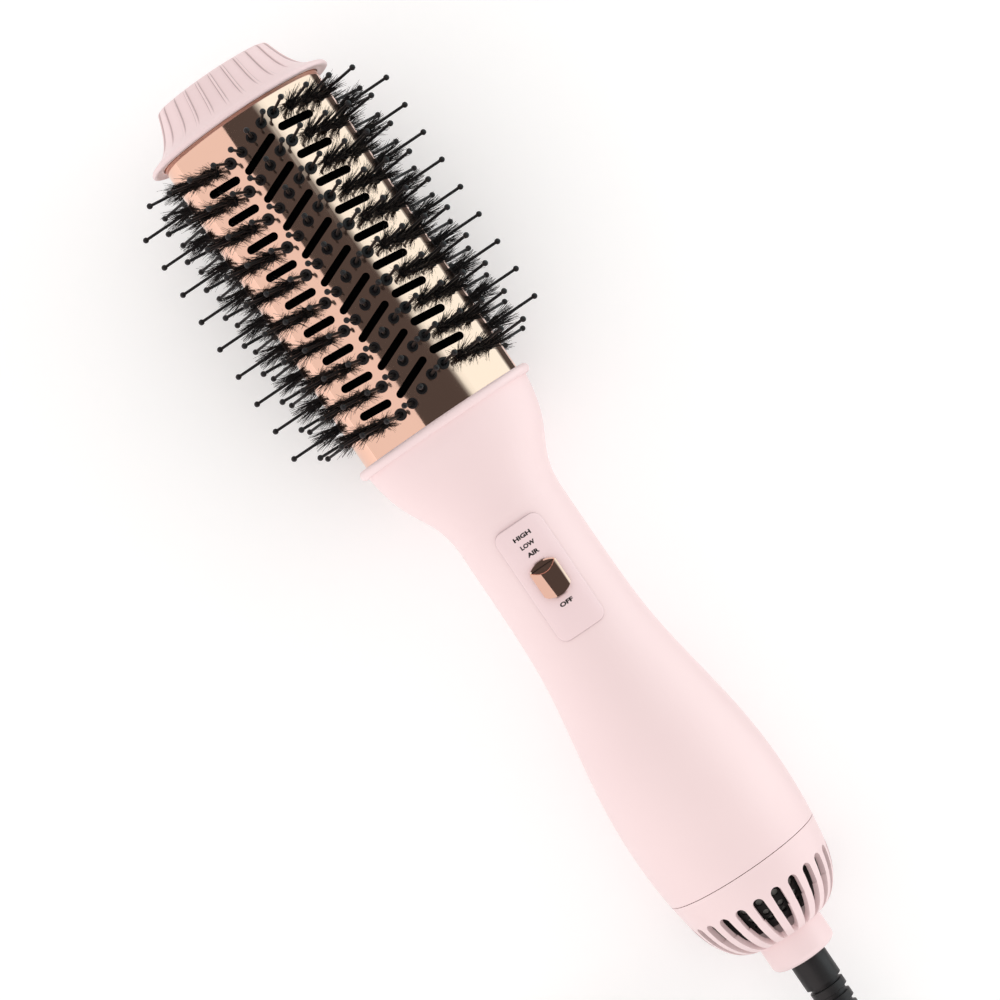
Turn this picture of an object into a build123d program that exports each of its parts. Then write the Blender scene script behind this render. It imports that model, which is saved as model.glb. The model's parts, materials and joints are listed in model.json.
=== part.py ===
from build123d import *
import os
from math import asin, atan2, cos, degrees, pi, radians, sin, tan

os.makedirs("parts", exist_ok=True)

# Hot air brush, in millimetres. It is drawn along its own axis: X runs from the end cap to the
# cord, Z points up through the switch, and the origin is on the axis at the barrel collar's front.
# REST then lays it down as it lies on a table, on its last row of pins and the handle's belly.

# Driving dimensions
BARREL_HALF_WIDTH = 29.8
BARREL_HALF_DEPTH = 20.6
TIGHT_R = 16.3  # radius of the barrel's two narrow sides
BARREL_WALL = 0.8
BARREL_FRONT = -118.0
BARREL_BACK = 3.2
ROW_PITCH = 10.82
FIRST_ROW = -107.9
ROWS = 10
PIN_R = 0.5
PIN_BALL_R = 1.0
PIN_HEIGHT = 18.8  # from the barrel's surface to the ball's top
TUFT_HEIGHT = 10.6
BOSS_R = 1.8
WIDE_BOSS_R = 2.0
FIT = 0.05  # gap between a boss or spindle and its hole
CLEAR = 0.3  # gap between neighbours on different bodies
CAP_END = -134.7
COLLAR_BACK = 3.3
HANDLE_BACK = 175.0
HANDLE_BACK_R = 27.85
HANDLE_WALL = 2.2
NECK_START = 39.3
NECK_R = 20.0
COVER_END = 202.0
GLAND_END = 212.7
GLAND_R = 11.7
RELIEF_END = 257.0
RELIEF_R = 6.5
PLATE_START, PLATE_END = 42.2, 82.8
PLATE_WIDTH = 17.2
PLATE_R = 20.9
KNOB_START, KNOB_END = 56.4, 69.2
KNOB_WIDTH = 10.0
KNOB_TOP = 23.6
SWITCH_TRAVEL = 9.6
STEM_START, STEM_END = 66.5, 68.8  # the knob's stem, which the plate's slot lets through
SWITCH_MIDDLE = (STEM_START + STEM_END - SWITCH_TRAVEL) / 2
MOTOR_START, MOTOR_END = 118.0, 152.0
MOTOR_R = 14.0
SHAFT_R = 1.15
FAN_START, FAN_END = 157.0, 171.0
FAN_R = 22.0
CORD_D = 6.5
PLUG_PIN_R = 2.4
PLUG_PIN_LENGTH = 19.0
PLUG_PIN_SPACING = 19.0

# The barrel's outline is two flat arcs, centred beyond the axis, and two tight ones
TIGHT_C = BARREL_HALF_WIDTH - TIGHT_R
RISE = BARREL_HALF_DEPTH - TIGHT_R
FLAT_C = (TIGHT_C**2 - RISE**2) / (2 * RISE)
FLAT_R = BARREL_HALF_DEPTH + FLAT_C
TURN = degrees(atan2(FLAT_C, TIGHT_C))  # where the arcs meet, up from the wide axis
FLAT_ARC = FLAT_R * radians(90 - TURN)
QUARTER_ARC = FLAT_ARC + TIGHT_R * radians(TURN)

# Rest pose: the tilt that puts the last pins and the handle's belly on the table
PIN_FOOT = (FIRST_ROW + ROW_PITCH * (ROWS - 1), BARREL_HALF_DEPTH + PIN_HEIGHT)
BELLY_FOOT = (166.0, 28.68)
TILT = degrees(asin((PIN_FOOT[1] - BELLY_FOOT[1]) / (BELLY_FOOT[0] - PIN_FOOT[0])))
LIFT = PIN_FOOT[1] * cos(radians(TILT)) + PIN_FOOT[0] * sin(radians(TILT)) + 0.02
MIDDLE = 60.835  # middle of the laid-down brush from the collar's front
REST = Pos(-MIDDLE, 0, LIFT) * Rot(0, TILT, 0)


def write(piece, name):
    """Label a finished piece and write it where it lies at rest."""
    piece.part.label = name
    laid = piece.part.moved(REST)
    laid.label = name
    export_step(laid, f"parts/{name}.step")


def write_in_place(piece, name):
    """Label and write a piece of the cord, which is drawn where it lies on the table."""
    piece.part.label = name
    export_step(piece.part, f"parts/{name}.step")


def oval_line(grow=0.0):
    """The barrel's outline as a closed wire, drawn grow outside its surface."""
    flat, tight = FLAT_R + grow, TIGHT_R + grow
    with BuildLine() as outline:
        CenterArc((TIGHT_C, 0), tight, -TURN, 2 * TURN)
        CenterArc((0, -FLAT_C), flat, TURN, 180 - 2 * TURN)
        CenterArc((-TIGHT_C, 0), tight, 180 - TURN, 2 * TURN)
        CenterArc((0, FLAT_C), flat, 180 + TURN, 180 - 2 * TURN)
    return outline.line


def oval(grow=0.0):
    """The barrel's outline as a face."""
    with BuildSketch() as face:
        add(oval_line(grow))
        make_face()
    return face.sketch


def station(x, arc, grow=0.0):
    """A plane on the outline drawn grow outside the barrel, arc mm round from the top of the front
    face, with its Z straight out and its X along the brush."""
    side = 1 if arc >= 0 else -1
    flat, tight = FLAT_R + grow, TIGHT_R + grow
    flat_arc = flat * radians(90 - TURN)
    if abs(arc) <= flat_arc:
        lean = abs(arc) / flat
        y = flat * sin(lean)
        z = flat * cos(lean) - FLAT_C
    else:
        lean = radians(90 - TURN) + (abs(arc) - flat_arc) / tight
        y = TIGHT_C + tight * sin(lean)
        z = tight * cos(lean)
    out = (0, side * sin(lean), cos(lean))
    return Plane(origin=(x, side * y, z), x_dir=(1, 0, 0), z_dir=out)


def turned(plane):
    """The same place on the back face, which is the front turned half round the axis."""
    out = plane.z_dir
    place = plane.origin
    return Plane(
        origin=(place.X, -place.Y, -place.Z), x_dir=(1, 0, 0), z_dir=(0, -out.Y, -out.Z)
    )


# Columns on one face, as arc length from its middle, shift along X, and boss radius
PIN_COLUMNS = [(0.0, 0.0, BOSS_R)]
BRISTLE_COLUMNS = []
for way in (1, -1):
    PIN_COLUMNS += [(way * 5.2, way * -2.15, BOSS_R), (way * 10.4, way * -3.0, WIDE_BOSS_R)]
    BRISTLE_COLUMNS += [(way * 16.9, way * -2.25), (way * 23.0, way * -1.35), (way * 28.4, way * -0.2)]


# ---------------------------------------------------------------- barrel


def slot_cutters():
    """The three rows of air slots on the front face, cut straight down."""
    columns = [  # X from the first row, Y, length, width and how far the slot leans from square
        (5.9, -0.7, 15.6, 2.6, 22.4), (2.8, 14.95, 12.2, 2.8, -5.0), (8.0, -16.2, 11.4, 2.8, -6.0),
    ]
    with BuildPart() as slots:
        with BuildSketch(Plane.XY.offset(4)):
            for x, y, length, width, lean in columns:
                with Locations((FIRST_ROW + x, y)):
                    with GridLocations(ROW_PITCH, 0, ROWS - 1, 1, align=(Align.MIN, Align.CENTER)):
                        SlotOverall(length, width, rotation=90 + lean)
        extrude(amount=30)
    return slots.part


def boss_planes():
    """Where every boss comes through the barrel, with its radius."""
    places = []
    for row in range(ROWS):
        x = FIRST_ROW + row * ROW_PITCH
        for arc, shift, radius in PIN_COLUMNS:
            places.append((station(x + shift, arc), radius))
        for arc, shift in BRISTLE_COLUMNS:
            places.append((station(x + shift, arc), BOSS_R))
    places += [(turned(plane), radius) for plane, radius in places]
    for row in range(ROWS - 1):
        x = FIRST_ROW + (row + 0.5) * ROW_PITCH
        places += [(station(x, QUARTER_ARC), BOSS_R), (station(x, -QUARTER_ARC), BOSS_R)]
    return places


def make_barrel():
    slots = slot_cutters()
    holes = boss_planes()
    with BuildPart() as barrel:
        with BuildSketch(Plane.YZ.offset(BARREL_FRONT)):
            add(oval())
            add(oval(-BARREL_WALL), mode=Mode.SUBTRACT)
        extrude(amount=BARREL_BACK - BARREL_FRONT)
        add(slots, mode=Mode.SUBTRACT)
        add(slots.rotate(Axis.X, 180), mode=Mode.SUBTRACT)
        for size in (BOSS_R, WIDE_BOSS_R):
            with Locations(*[plane.location for plane, radius in holes if radius == size]):
                Cylinder(size + FIT, 5, mode=Mode.SUBTRACT)
    write(barrel, "barrel_shell")


# ---------------------------------------------------------------- bristle strips


def make_strip(count, boss_r, boss_top):
    """One strip lying under the barrel wall: a rail, and bosses that each hold a ball-tipped pin."""
    rail_top, rail_thick, rail_width = -BARREL_WALL - 0.15, 1.2, 3.2
    cup_r, cup_depth = 1.15, 0.9
    length = (count - 1) * ROW_PITCH
    along = [(index * ROW_PITCH, 0) for index in range(count)]
    low = (Align.CENTER, Align.CENTER, Align.MIN)
    high = (Align.CENTER, Align.CENTER, Align.MAX)
    with BuildPart() as strip:
        with Locations((length / 2, 0, rail_top)):
            Box(length + 7, rail_width, rail_thick, align=high)
        with Locations(*[(x, y, boss_top) for x, y in along]):
            Cylinder(boss_r, boss_top - rail_top + 0.5, align=high)
            Cylinder(cup_r, cup_depth, align=high, mode=Mode.SUBTRACT)
        with Locations(*[(x, y, boss_top - cup_depth - 0.2) for x, y in along]):
            Cylinder(PIN_R, PIN_HEIGHT - PIN_BALL_R - boss_top + cup_depth + 0.2, align=low)
        with Locations(*[(x, y, PIN_HEIGHT - PIN_BALL_R) for x, y in along]):
            Sphere(PIN_BALL_R)
    return strip.part


def make_tuft_row(count):
    """The tufts of one strip: a crown of bristle round each pin, as plain closed rings."""
    foot_r, tip_r, bore_r, gap = 1.9, 3.3, 0.62, 0.3
    with BuildPart() as row:
        with BuildSketch(Plane.XZ):
            Polygon(
                (bore_r, gap), (foot_r, gap), (tip_r, TUFT_HEIGHT), (bore_r, TUFT_HEIGHT), align=None
            )
        revolve(axis=Axis.Z)
    with BuildPart() as rows:
        with Locations(*[(index * ROW_PITCH, 0) for index in range(count)]):
            add(row.part)
    return rows.part


def make_strips():
    narrow = make_strip(ROWS, BOSS_R, 0.6)
    wide = make_strip(ROWS, WIDE_BOSS_R, 0.6)
    bristled = make_strip(ROWS, BOSS_R, 0.2)
    edge = make_strip(ROWS - 1, BOSS_R, 0.2)
    tufts = make_tuft_row(ROWS)
    edge_tufts = make_tuft_row(ROWS - 1)
    for face in ("front", "back"):
        planes = [(station(FIRST_ROW + shift, arc), radius) for arc, shift, radius in PIN_COLUMNS]
        if face == "back":
            planes = [(turned(plane), radius) for plane, radius in planes]
        with BuildPart() as pins:
            for plane, radius in planes:
                with Locations(plane.location):
                    add(narrow if radius == BOSS_R else wide)
        write(pins, f"pin_strips_{face}")
    sides = {"left": [], "right": []}
    for arc, shift in BRISTLE_COLUMNS:
        plane = station(FIRST_ROW + shift, arc)
        sides["left" if arc > 0 else "right"].append((plane, bristled, tufts))
        sides["right" if arc > 0 else "left"].append((turned(plane), bristled, tufts))
    middle = FIRST_ROW + ROW_PITCH / 2
    sides["left"].append((station(middle, QUARTER_ARC), edge, edge_tufts))
    sides["right"].append((station(middle, -QUARTER_ARC), edge, edge_tufts))
    for side, columns in sides.items():
        columns.sort(key=lambda column: -column[0].origin.Z)
        for number, (plane, shape, _) in enumerate(columns, start=1):
            with BuildPart() as strip:
                with Locations(plane.location):
                    add(shape)
            write(strip, f"bristle_strip_{side}_{number}")
        with BuildPart() as bristle:
            for plane, _, rings in columns:
                with Locations(plane.location):
                    add(rings)
        write(bristle, f"tufts_{side}")


# ---------------------------------------------------------------- barrel ends


def make_end_cap():
    """The flared cap: its wall is one profile swept round the barrel's outline."""
    end_face, seat_y = 2.1, 9.0  # thickness of the closed end, and where its screw posts stand
    top_edge = [(-133.6, 16.0), (CAP_END, 16.0), (CAP_END, 19.6), (-134.3, 20.5), (-133.6, 21.0)]
    low = (Align.CENTER, Align.CENTER, Align.MIN)
    rib = cap_rib()
    with BuildPart() as cap:
        with BuildSketch(Plane.XY):
            with BuildLine():
                Polyline(*top_edge)
                Spline((-133.6, 21.0), (-125.6, 24.3), (-121.6, 27.5), (-119.2, 32.2), (-118.6, 33.6))
                ThreePointArc((-118.6, 33.6), (-117.6, 34.3), (-116.9, 33.5))
                Polyline((-116.9, 33.5), (-116.9, 30.1), (-118.6, 30.1), (-118.6, 28.0))
                Spline((-118.6, 28.0), (-124.0, 23.0), (-132.6, 19.2))
                Polyline((-132.6, 19.2), (-132.6, 16.0), (-133.6, 16.0))
            make_face()
        sweep(path=Plane.YZ * oval_line())
        with BuildSketch(Plane.YZ.offset(CAP_END)):
            add(oval(-13.6))
        extrude(amount=end_face)
        with Locations(*[plane.location for plane in rib_planes()]):
            add(rib)
        with Locations(*[Plane.YZ.offset(CAP_END + end_face) * Pos(y, 0) for y in (-seat_y, seat_y)]):
            Cylinder(3.0, 14.0, align=low)
            Cylinder(1.1, 14.2, align=low, mode=Mode.SUBTRACT)
    write(cap, "end_cap")


def cap_rib():
    """One fine grip rib, leaned to climb the cap's flare."""
    with BuildPart() as rib:
        Box(9.4, 1.0, 1.8)
        fillet(rib.edges().group_by(Axis.Z)[-1], 0.35)
    return rib.part.rotate(Axis.Y, -22.4)


def rib_planes():
    """Where the ribs stand: evenly spaced all round the cap."""
    drop, per_face = -7.1, 11
    quarter = (FLAT_R + drop) * radians(90 - TURN) + (TIGHT_R + drop) * radians(TURN)
    pitch = 2 * quarter / per_face
    front = [station(-129.5, (index - per_face // 2) * pitch, drop) for index in range(per_face)]
    return front + [turned(plane) for plane in front]


def make_barrel_ends():
    rail_bed = BARREL_WALL + 2.4  # the strips' rails lie between the wall and this depth
    ring_wall, ring_start, ring_thick = 1.6, -117.8, 3.2
    ring_end = ring_start + ring_thick
    screw_places = [Plane.YZ.offset(ring_start) * Pos(y, 0) for y in (-9.0, 9.0)]
    low = (Align.CENTER, Align.CENTER, Align.MIN)
    with BuildPart() as front_ring:
        with BuildSketch(Plane.YZ.offset(ring_start)):
            add(oval(-BARREL_WALL - FIT))
            add(oval(-rail_bed - ring_wall), mode=Mode.SUBTRACT)
        extrude(amount=ring_thick)
        with Locations((ring_start + ring_thick / 2, 0, 0)):
            Box(ring_thick, 2 * (BARREL_HALF_WIDTH - 4), 4)
        with Locations(*screw_places):
            Cylinder(3.0, ring_thick, align=low)
            Cylinder(1.35, ring_thick, align=low, mode=Mode.SUBTRACT)
    write(front_ring, "barrel_front_ring")
    with BuildPart() as rear_ring:
        with BuildSketch(Plane.YZ.offset(-0.6)):
            add(oval(-BARREL_WALL - FIT))
            add(oval(-rail_bed - ring_wall), mode=Mode.SUBTRACT)
        extrude(amount=BARREL_BACK + 0.6)
        with BuildSketch(Plane.YZ.offset(BARREL_BACK)):
            add(oval(-2.8))
            add(oval(-rail_bed - ring_wall), mode=Mode.SUBTRACT)
        extrude(amount=6.0)
    write(rear_ring, "barrel_rear_ring")
    with BuildPart() as screws:
        with Locations(*[place * Pos(0, 0, -8.2) for place in screw_places]):
            Cylinder(1.05, 8.2 + ring_thick, align=low)
        with Locations(*[place * Pos(0, 0, ring_thick) for place in screw_places]):
            Cylinder(2.4, 1.8, align=low)
    write(screws, "end_cap_screws")
    with BuildPart() as collar:
        with BuildSketch(Plane.XY):
            with BuildLine():
                Line((0.2, BARREL_HALF_WIDTH + 0.05), (0.2, 32.3))
                ThreePointArc((0.2, 32.3), (1.6, 33.2), (COLLAR_BACK, 32.2))
                Polyline(
                    (COLLAR_BACK, 32.2),
                    (COLLAR_BACK, BARREL_HALF_WIDTH + 0.05),
                    (0.2, BARREL_HALF_WIDTH + 0.05),
                )
            make_face()
        sweep(path=Plane.YZ * oval_line())
    write(collar, "barrel_collar")


# ---------------------------------------------------------------- handle

# The bell's outline behind the collar: X, half width and half depth of each oval section
BELL = [
    (COLLAR_BACK, 31.0, 22.0), (7.9, 30.4, 21.7), (11.8, 29.6, 21.4), (15.7, 28.5, 21.1),
    (19.7, 26.9, 20.9), (23.6, 24.9, 20.6), (27.5, 22.9, 20.4), (31.5, 21.3, 20.2),
    (35.4, 20.4, 20.1), (NECK_START, NECK_R, NECK_R),
]
# The grip's outline behind the neck: X and radius
GRIP = [(NECK_START, NECK_R), (66.9, 20.1), (90.5, 21.1), (114.1, 24.6), (137.7, 28.1), (153.4, 29.0)]


def handle_solid(inset):
    """The whole handle as one solid, drawn inset mm inside its surface."""
    past_end = 0.0 if inset == 0 else 1.0  # an inner solid runs past both ends, to cut them open
    with BuildPart() as body:
        for x, width, depth in BELL:
            with BuildSketch(Plane.YZ.offset(x - (past_end if x == COLLAR_BACK else 0))):
                Ellipse(width - inset, depth - inset)
        loft()
        with BuildSketch(Plane.XY):
            with BuildLine():
                Line((NECK_START, 0), (NECK_START, NECK_R - inset))
                Spline(
                    *[(x, radius - inset) for x, radius in GRIP],
                    (HANDLE_BACK, HANDLE_BACK_R - inset),
                    tangents=[(1, 0), (1, -0.115)],
                )
                rim = [(HANDLE_BACK, HANDLE_BACK_R - inset)]
                if past_end:
                    rim.append((HANDLE_BACK + past_end, HANDLE_BACK_R - inset))
                Polyline(*rim, (HANDLE_BACK + past_end, 0), (NECK_START, 0))
            make_face()
        revolve(axis=Axis.X)
    return body.part


def plate_block(grow, low, high):
    """The switch plate's footprint between two radii, with its corners rounded."""
    with BuildPart() as block:
        with BuildSketch(Plane.XY.offset(10)):
            with Locations(((PLATE_START + PLATE_END) / 2, 0)):
                RectangleRounded(PLATE_END - PLATE_START + 2 * grow, PLATE_WIDTH + 2 * grow, 3.0 + grow)
        extrude(amount=14)
        with BuildSketch(Plane.YZ.offset(PLATE_START - 5)):
            Circle(high)
            Circle(low, mode=Mode.SUBTRACT)
        extrude(amount=PLATE_END - PLATE_START + 10, mode=Mode.INTERSECT)
    return block.part


def make_handle():
    outer = handle_solid(0)
    inner = handle_solid(HANDLE_WALL)
    window = plate_block(0.1, 12, 30)
    posts = [Plane.XY * Pos(x, 0, 0) for x in (29.0, 100.0)]
    with BuildPart() as post_stock:
        with Locations(*posts):
            Cylinder(3.4, 80)
        add(handle_solid(0.6), mode=Mode.INTERSECT)
    for name, keep, side in (("upper", Keep.TOP, 1), ("lower", Keep.BOTTOM, -1)):
        with BuildPart() as shell:
            add(outer)
            add(inner, mode=Mode.SUBTRACT)
            add(window, mode=Mode.SUBTRACT)
            add(post_stock.part)
            with Locations(*posts):
                Cylinder(1.35, 26, mode=Mode.SUBTRACT)
            if side < 0:
                with Locations(*[place * Pos(0, 0, -8) for place in posts]):
                    Cylinder(2.4, 40, align=(Align.CENTER, Align.CENTER, Align.MAX), mode=Mode.SUBTRACT)
            split(bisect_by=Plane.XY, keep=keep)
        write(shell, f"handle_{name}_shell")
    with BuildPart() as screws:
        with Locations(*[place * Pos(0, 0, -8) for place in posts]):
            Cylinder(1.3, 19, align=(Align.CENTER, Align.CENTER, Align.MIN))
            Cylinder(2.3, 1.8, align=(Align.CENTER, Align.CENTER, Align.MAX))
    write(screws, "handle_screws")


def make_rear_cover():
    """The slotted cover and its round collar, turned as one shell."""
    with BuildPart() as cover:
        with BuildSketch(Plane.XY):
            with BuildLine():
                Line((HANDLE_BACK + 0.25, 25.6), (HANDLE_BACK + 0.25, 27.8))
                Spline((HANDLE_BACK + 0.25, 27.8), (184.9, 26.3), (192.8, 23.9), (198.0, 20.6),
                       (201.0, 17.0), (COVER_END, 14.2))
                Line((COVER_END, 14.2), (COVER_END, GLAND_R))
                Line((COVER_END, GLAND_R), (GLAND_END - 2.4, GLAND_R))
                ThreePointArc((GLAND_END - 2.4, GLAND_R), (GLAND_END - 0.7, GLAND_R - 0.7),
                              (GLAND_END, GLAND_R - 2.4))
                Polyline((GLAND_END, GLAND_R - 2.4), (GLAND_END, RELIEF_R + CLEAR),
                         (196.0, RELIEF_R + CLEAR), (196.0, GLAND_R), (200.0, GLAND_R + 1.4))
                Spline((200.0, GLAND_R + 1.4), (198.2, 17.4), (191.5, 22.2), (HANDLE_BACK + 6, 25.0))
                Polyline((HANDLE_BACK + 6, 25.0), (HANDLE_BACK - 4, 25.4), (HANDLE_BACK - 4, 25.6),
                         (HANDLE_BACK + 0.25, 25.6))
            make_face()
        revolve(axis=Axis.X)
        cutter = grille_cutter()
        for index in range(24):
            add(cutter.rotate(Axis.X, 7.5 + 15 * index), mode=Mode.SUBTRACT)
    write(cover, "rear_cover")


def grille_cutter():
    """One intake slot: straight sided down the cover's side, narrowing where it turns over the end."""
    with BuildPart() as slot:
        with BuildSketch(Plane.XY.offset(20)):
            with Locations((184.4 + 12, 0)):
                SlotOverall(24, 3.8)
        extrude(amount=12)
        with BuildSketch(Plane.XY.offset(20)):
            with Locations((204, 0)):
                Rectangle(24, 10)
        extrude(amount=12, mode=Mode.SUBTRACT)
        with BuildSketch(Plane.YZ.offset(190)):
            with BuildLine():
                Line((-0.75, 15.6), (-1.9, 25.0))
                Polyline((-1.9, 25.0), (-1.9, 30), (1.9, 30), (1.9, 25.0))
                Line((1.9, 25.0), (0.75, 15.6))
                ThreePointArc((0.75, 15.6), (0, 14.85), (-0.75, 15.6))
            make_face()
        extrude(amount=14)
    return slot.part


def make_intake_screen():
    """The dark perforated cup behind the intake slots."""
    with BuildPart() as screen:
        with BuildSketch(Plane.XY):
            with BuildLine():
                Spline((178.5, 24.0), (187.5, 22.6), (193.5, 19.4), (197.0, 14.2))
                Line((197.0, 14.2), (196.3, 13.7))
                Spline((196.3, 13.7), (193.0, 18.7), (187.2, 21.9), (178.5, 23.3))
                Line((178.5, 23.3), (178.5, 24.0))
            make_face()
        revolve(axis=Axis.X)
        for row, x in enumerate((185.6, 189.6, 193.4)):
            for index in range(24):
                with Locations(Rot(7.5 + 15 * index, 0, 0) * Pos(x, 0, 20) * Rot(0, 14 + 16 * row, 0)):
                    Cylinder(1.15, 12, mode=Mode.SUBTRACT)
    write(screen, "intake_screen")


# ---------------------------------------------------------------- switch


def make_switch():
    stem_width = 2.8
    slot_start = STEM_START - SWITCH_TRAVEL - CLEAR
    slot_end = STEM_END + CLEAR
    skirt_top, skirt_thick = 17.35, 0.6
    with BuildPart() as plate:
        add(plate_block(0, 17.9, PLATE_R))
        with BuildSketch(Plane.XY.offset(12)):
            with Locations(((slot_start + slot_end) / 2, 0)):
                Rectangle(slot_end - slot_start, stem_width + 2 * CLEAR)
        extrude(amount=12, mode=Mode.SUBTRACT)
    write(plate, "switch_plate")
    middle = (KNOB_START + KNOB_END) / 2
    with BuildPart() as knob:
        with BuildSketch(Plane.XY.offset(18)):
            with Locations((middle, 0)):
                RectangleRounded(KNOB_END - KNOB_START, KNOB_WIDTH, 1.4)
        extrude(amount=8)
        with BuildSketch(Plane.YZ.offset(KNOB_START - 1)):
            with Locations((0, KNOB_TOP - 12)):
                Circle(12)
        extrude(amount=KNOB_END - KNOB_START + 2, mode=Mode.INTERSECT)
        with BuildSketch(Plane.YZ.offset(KNOB_START - 1)):
            Circle(PLATE_R + CLEAR)
        extrude(amount=KNOB_END - KNOB_START + 2, mode=Mode.SUBTRACT)
        with Locations(((STEM_START + STEM_END) / 2, 0, skirt_top - 0.1)):
            Box(
                STEM_END - STEM_START, stem_width, PLATE_R + 0.8 - skirt_top,
                align=(Align.CENTER, Align.CENTER, Align.MIN),
            )
        with Locations(((slot_start + slot_end + SWITCH_TRAVEL) / 2, 0, skirt_top)):
            Box(
                slot_end - slot_start + SWITCH_TRAVEL, 6, skirt_thick,
                align=(Align.CENTER, Align.CENTER, Align.MAX),
            )
        with Locations(((STEM_START + STEM_END) / 2, 0, skirt_top - 0.3)):
            Box(2, 2, 2.6, align=(Align.CENTER, Align.CENTER, Align.MAX))
    write(knob, "switch_knob")
    with BuildPart() as switch:
        with Locations((SWITCH_MIDDLE, 0, 12.2)):
            Box(24, 9, 7.6)
        with Locations((SWITCH_MIDDLE, 0, 16)):
            Box(SWITCH_TRAVEL + 2.6, 2.6, 4.8, mode=Mode.SUBTRACT)
        with Locations((SWITCH_MIDDLE, 0, 8.4)):
            with GridLocations(5, 5, 4, 2):
                Cylinder(0.4, 3.4, align=(Align.CENTER, Align.CENTER, Align.MAX))
    write(switch, "slide_switch")


def make_switch_board():
    """The board under the switch, with the holes for the switch's pins and its few parts."""
    with BuildPart() as board:
        with Locations((SWITCH_MIDDLE, 0, 7.5)):
            Box(38, 20, 1.6)
            with GridLocations(5, 5, 4, 2):
                Cylinder(0.45, 4, mode=Mode.SUBTRACT)
        with Locations((48, 5, 6.7), (48, -5, 6.7)):
            Cylinder(2.6, 6, align=(Align.CENTER, Align.CENTER, Align.MAX))
        with Locations((76, 4, 6.7)):
            Box(6, 8, 4, align=(Align.CENTER, Align.CENTER, Align.MAX))
    write(board, "switch_board")


# ---------------------------------------------------------------- heater


def make_heater():
    start, end, reach, thick = -66.0, 4.0, 11.5, 0.6
    sleeve_start, sleeve_end = -112.0, 8.0  # the sleeve lines the barrel past the heater's end
    middle, length = (start + end) / 2, end - start
    for name, turn, cut_from in (("mica_plate_flat", 0, middle), ("mica_plate_upright", 90, start)):
        with BuildPart() as plate:
            with Locations(Pos(middle, 0, 0) * Rot(turn, 0, 0)):
                Box(length, 2 * reach, thick)
            with Locations((cut_from + length / 4, 0, 0)):
                Box(length / 2, thick + 2 * FIT, thick + 2 * FIT, mode=Mode.SUBTRACT)
            if name == "mica_plate_flat":
                with Locations((cut_from + length / 4, 0, 0)):
                    Box(length / 2 + 0.1, thick + 2 * FIT, 2, mode=Mode.SUBTRACT)
            else:
                with Locations((cut_from + length / 4, 0, 0)):
                    Box(length / 2 + 0.1, 2, thick + 2 * FIT, mode=Mode.SUBTRACT)
        write(plate, name)
    with BuildPart() as wire:
        with Locations(*[Plane.YZ.offset(start + 6 + 4.6 * index) for index in range(12)]):
            Torus(reach + 0.5, 0.4)
    write(wire, "heater_wire")
    with BuildPart() as sleeve:
        with BuildSketch(Plane.YZ.offset(sleeve_start)):
            Circle(14.4)
            Circle(13.9, mode=Mode.SUBTRACT)
        extrude(amount=sleeve_end - sleeve_start)
    write(sleeve, "mica_sleeve")
    with BuildPart() as thermostat:
        with Locations((-1.5, 5.5, 0.35)):
            Box(9, 6, 2.4, align=(Align.CENTER, Align.CENTER, Align.MIN))
            Cylinder(2.2, 4.6, align=(Align.CENTER, Align.CENTER, Align.MIN))
    write(thermostat, "thermostat")
    with BuildPart() as fuse:
        with Locations(Plane.YZ.offset(-5) * Pos(-6, 2.1)):
            Cylinder(1.7, 9, align=(Align.CENTER, Align.CENTER, Align.MIN))
        with Locations(Plane.YZ.offset(-9) * Pos(-6, 2.1)):
            Cylinder(0.45, 16, align=(Align.CENTER, Align.CENTER, Align.MIN))
    write(fuse, "thermal_fuse")


# ---------------------------------------------------------------- fan and motor


def make_motor():
    wall, bush_r = 1.5, 3.0
    with BuildPart() as can:
        with BuildSketch(Plane.XY):
            with BuildLine():
                Polyline(
                    (MOTOR_START - 2, SHAFT_R + FIT), (MOTOR_START - 2, bush_r), (MOTOR_START, bush_r),
                    (MOTOR_START, MOTOR_R), (MOTOR_END, MOTOR_R), (MOTOR_END, bush_r),
                    (MOTOR_END + 2, bush_r), (MOTOR_END + 2, SHAFT_R + FIT),
                    (MOTOR_END - wall, SHAFT_R + FIT), (MOTOR_END - wall, MOTOR_R - wall),
                    (MOTOR_START + wall, MOTOR_R - wall), (MOTOR_START + wall, SHAFT_R + FIT),
                    close=True,
                )
            make_face()
        revolve(axis=Axis.X)
    write(can, "motor_can")
    with BuildPart() as shaft:
        with BuildSketch(Plane.YZ.offset(MOTOR_START - 5)):
            Circle(SHAFT_R)
        extrude(amount=FAN_END + 1 - MOTOR_START + 5)
    write(shaft, "motor_shaft")
    with BuildPart() as rotor:
        with BuildSketch(Plane.YZ.offset(MOTOR_START + 6)):
            Circle(11.0)
            with PolarLocations(9.4, 5):
                Rectangle(4.6, 1.6, mode=Mode.SUBTRACT)
            Circle(SHAFT_R, mode=Mode.SUBTRACT)
        extrude(amount=MOTOR_END - MOTOR_START - 14)
    write(rotor, "motor_rotor")
    with BuildPart() as fan:
        blades, blade_pitch = 9, 38  # how many, and how far each leans across the flow
        for index in range(blades):
            turn = Rot(360 / blades * index, 0, 0)
            with Locations(turn * Pos((FAN_START + FAN_END) / 2, 0, 0) * Rot(0, 0, blade_pitch)):
                Box(14.0, 1.3, FAN_R, align=(Align.CENTER, Align.CENTER, Align.MIN))
        with BuildSketch(Plane.YZ.offset(FAN_START)):
            Circle(FAN_R)
        extrude(amount=FAN_END - FAN_START, mode=Mode.INTERSECT)
        with BuildSketch(Plane.YZ.offset(FAN_START)):
            Circle(7.0)
        extrude(amount=FAN_END - FAN_START)
        with BuildSketch(Plane.YZ.offset(FAN_START)):
            Circle(SHAFT_R)
        extrude(amount=FAN_END - FAN_START, mode=Mode.SUBTRACT)
    write(fan, "impeller")


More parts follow.
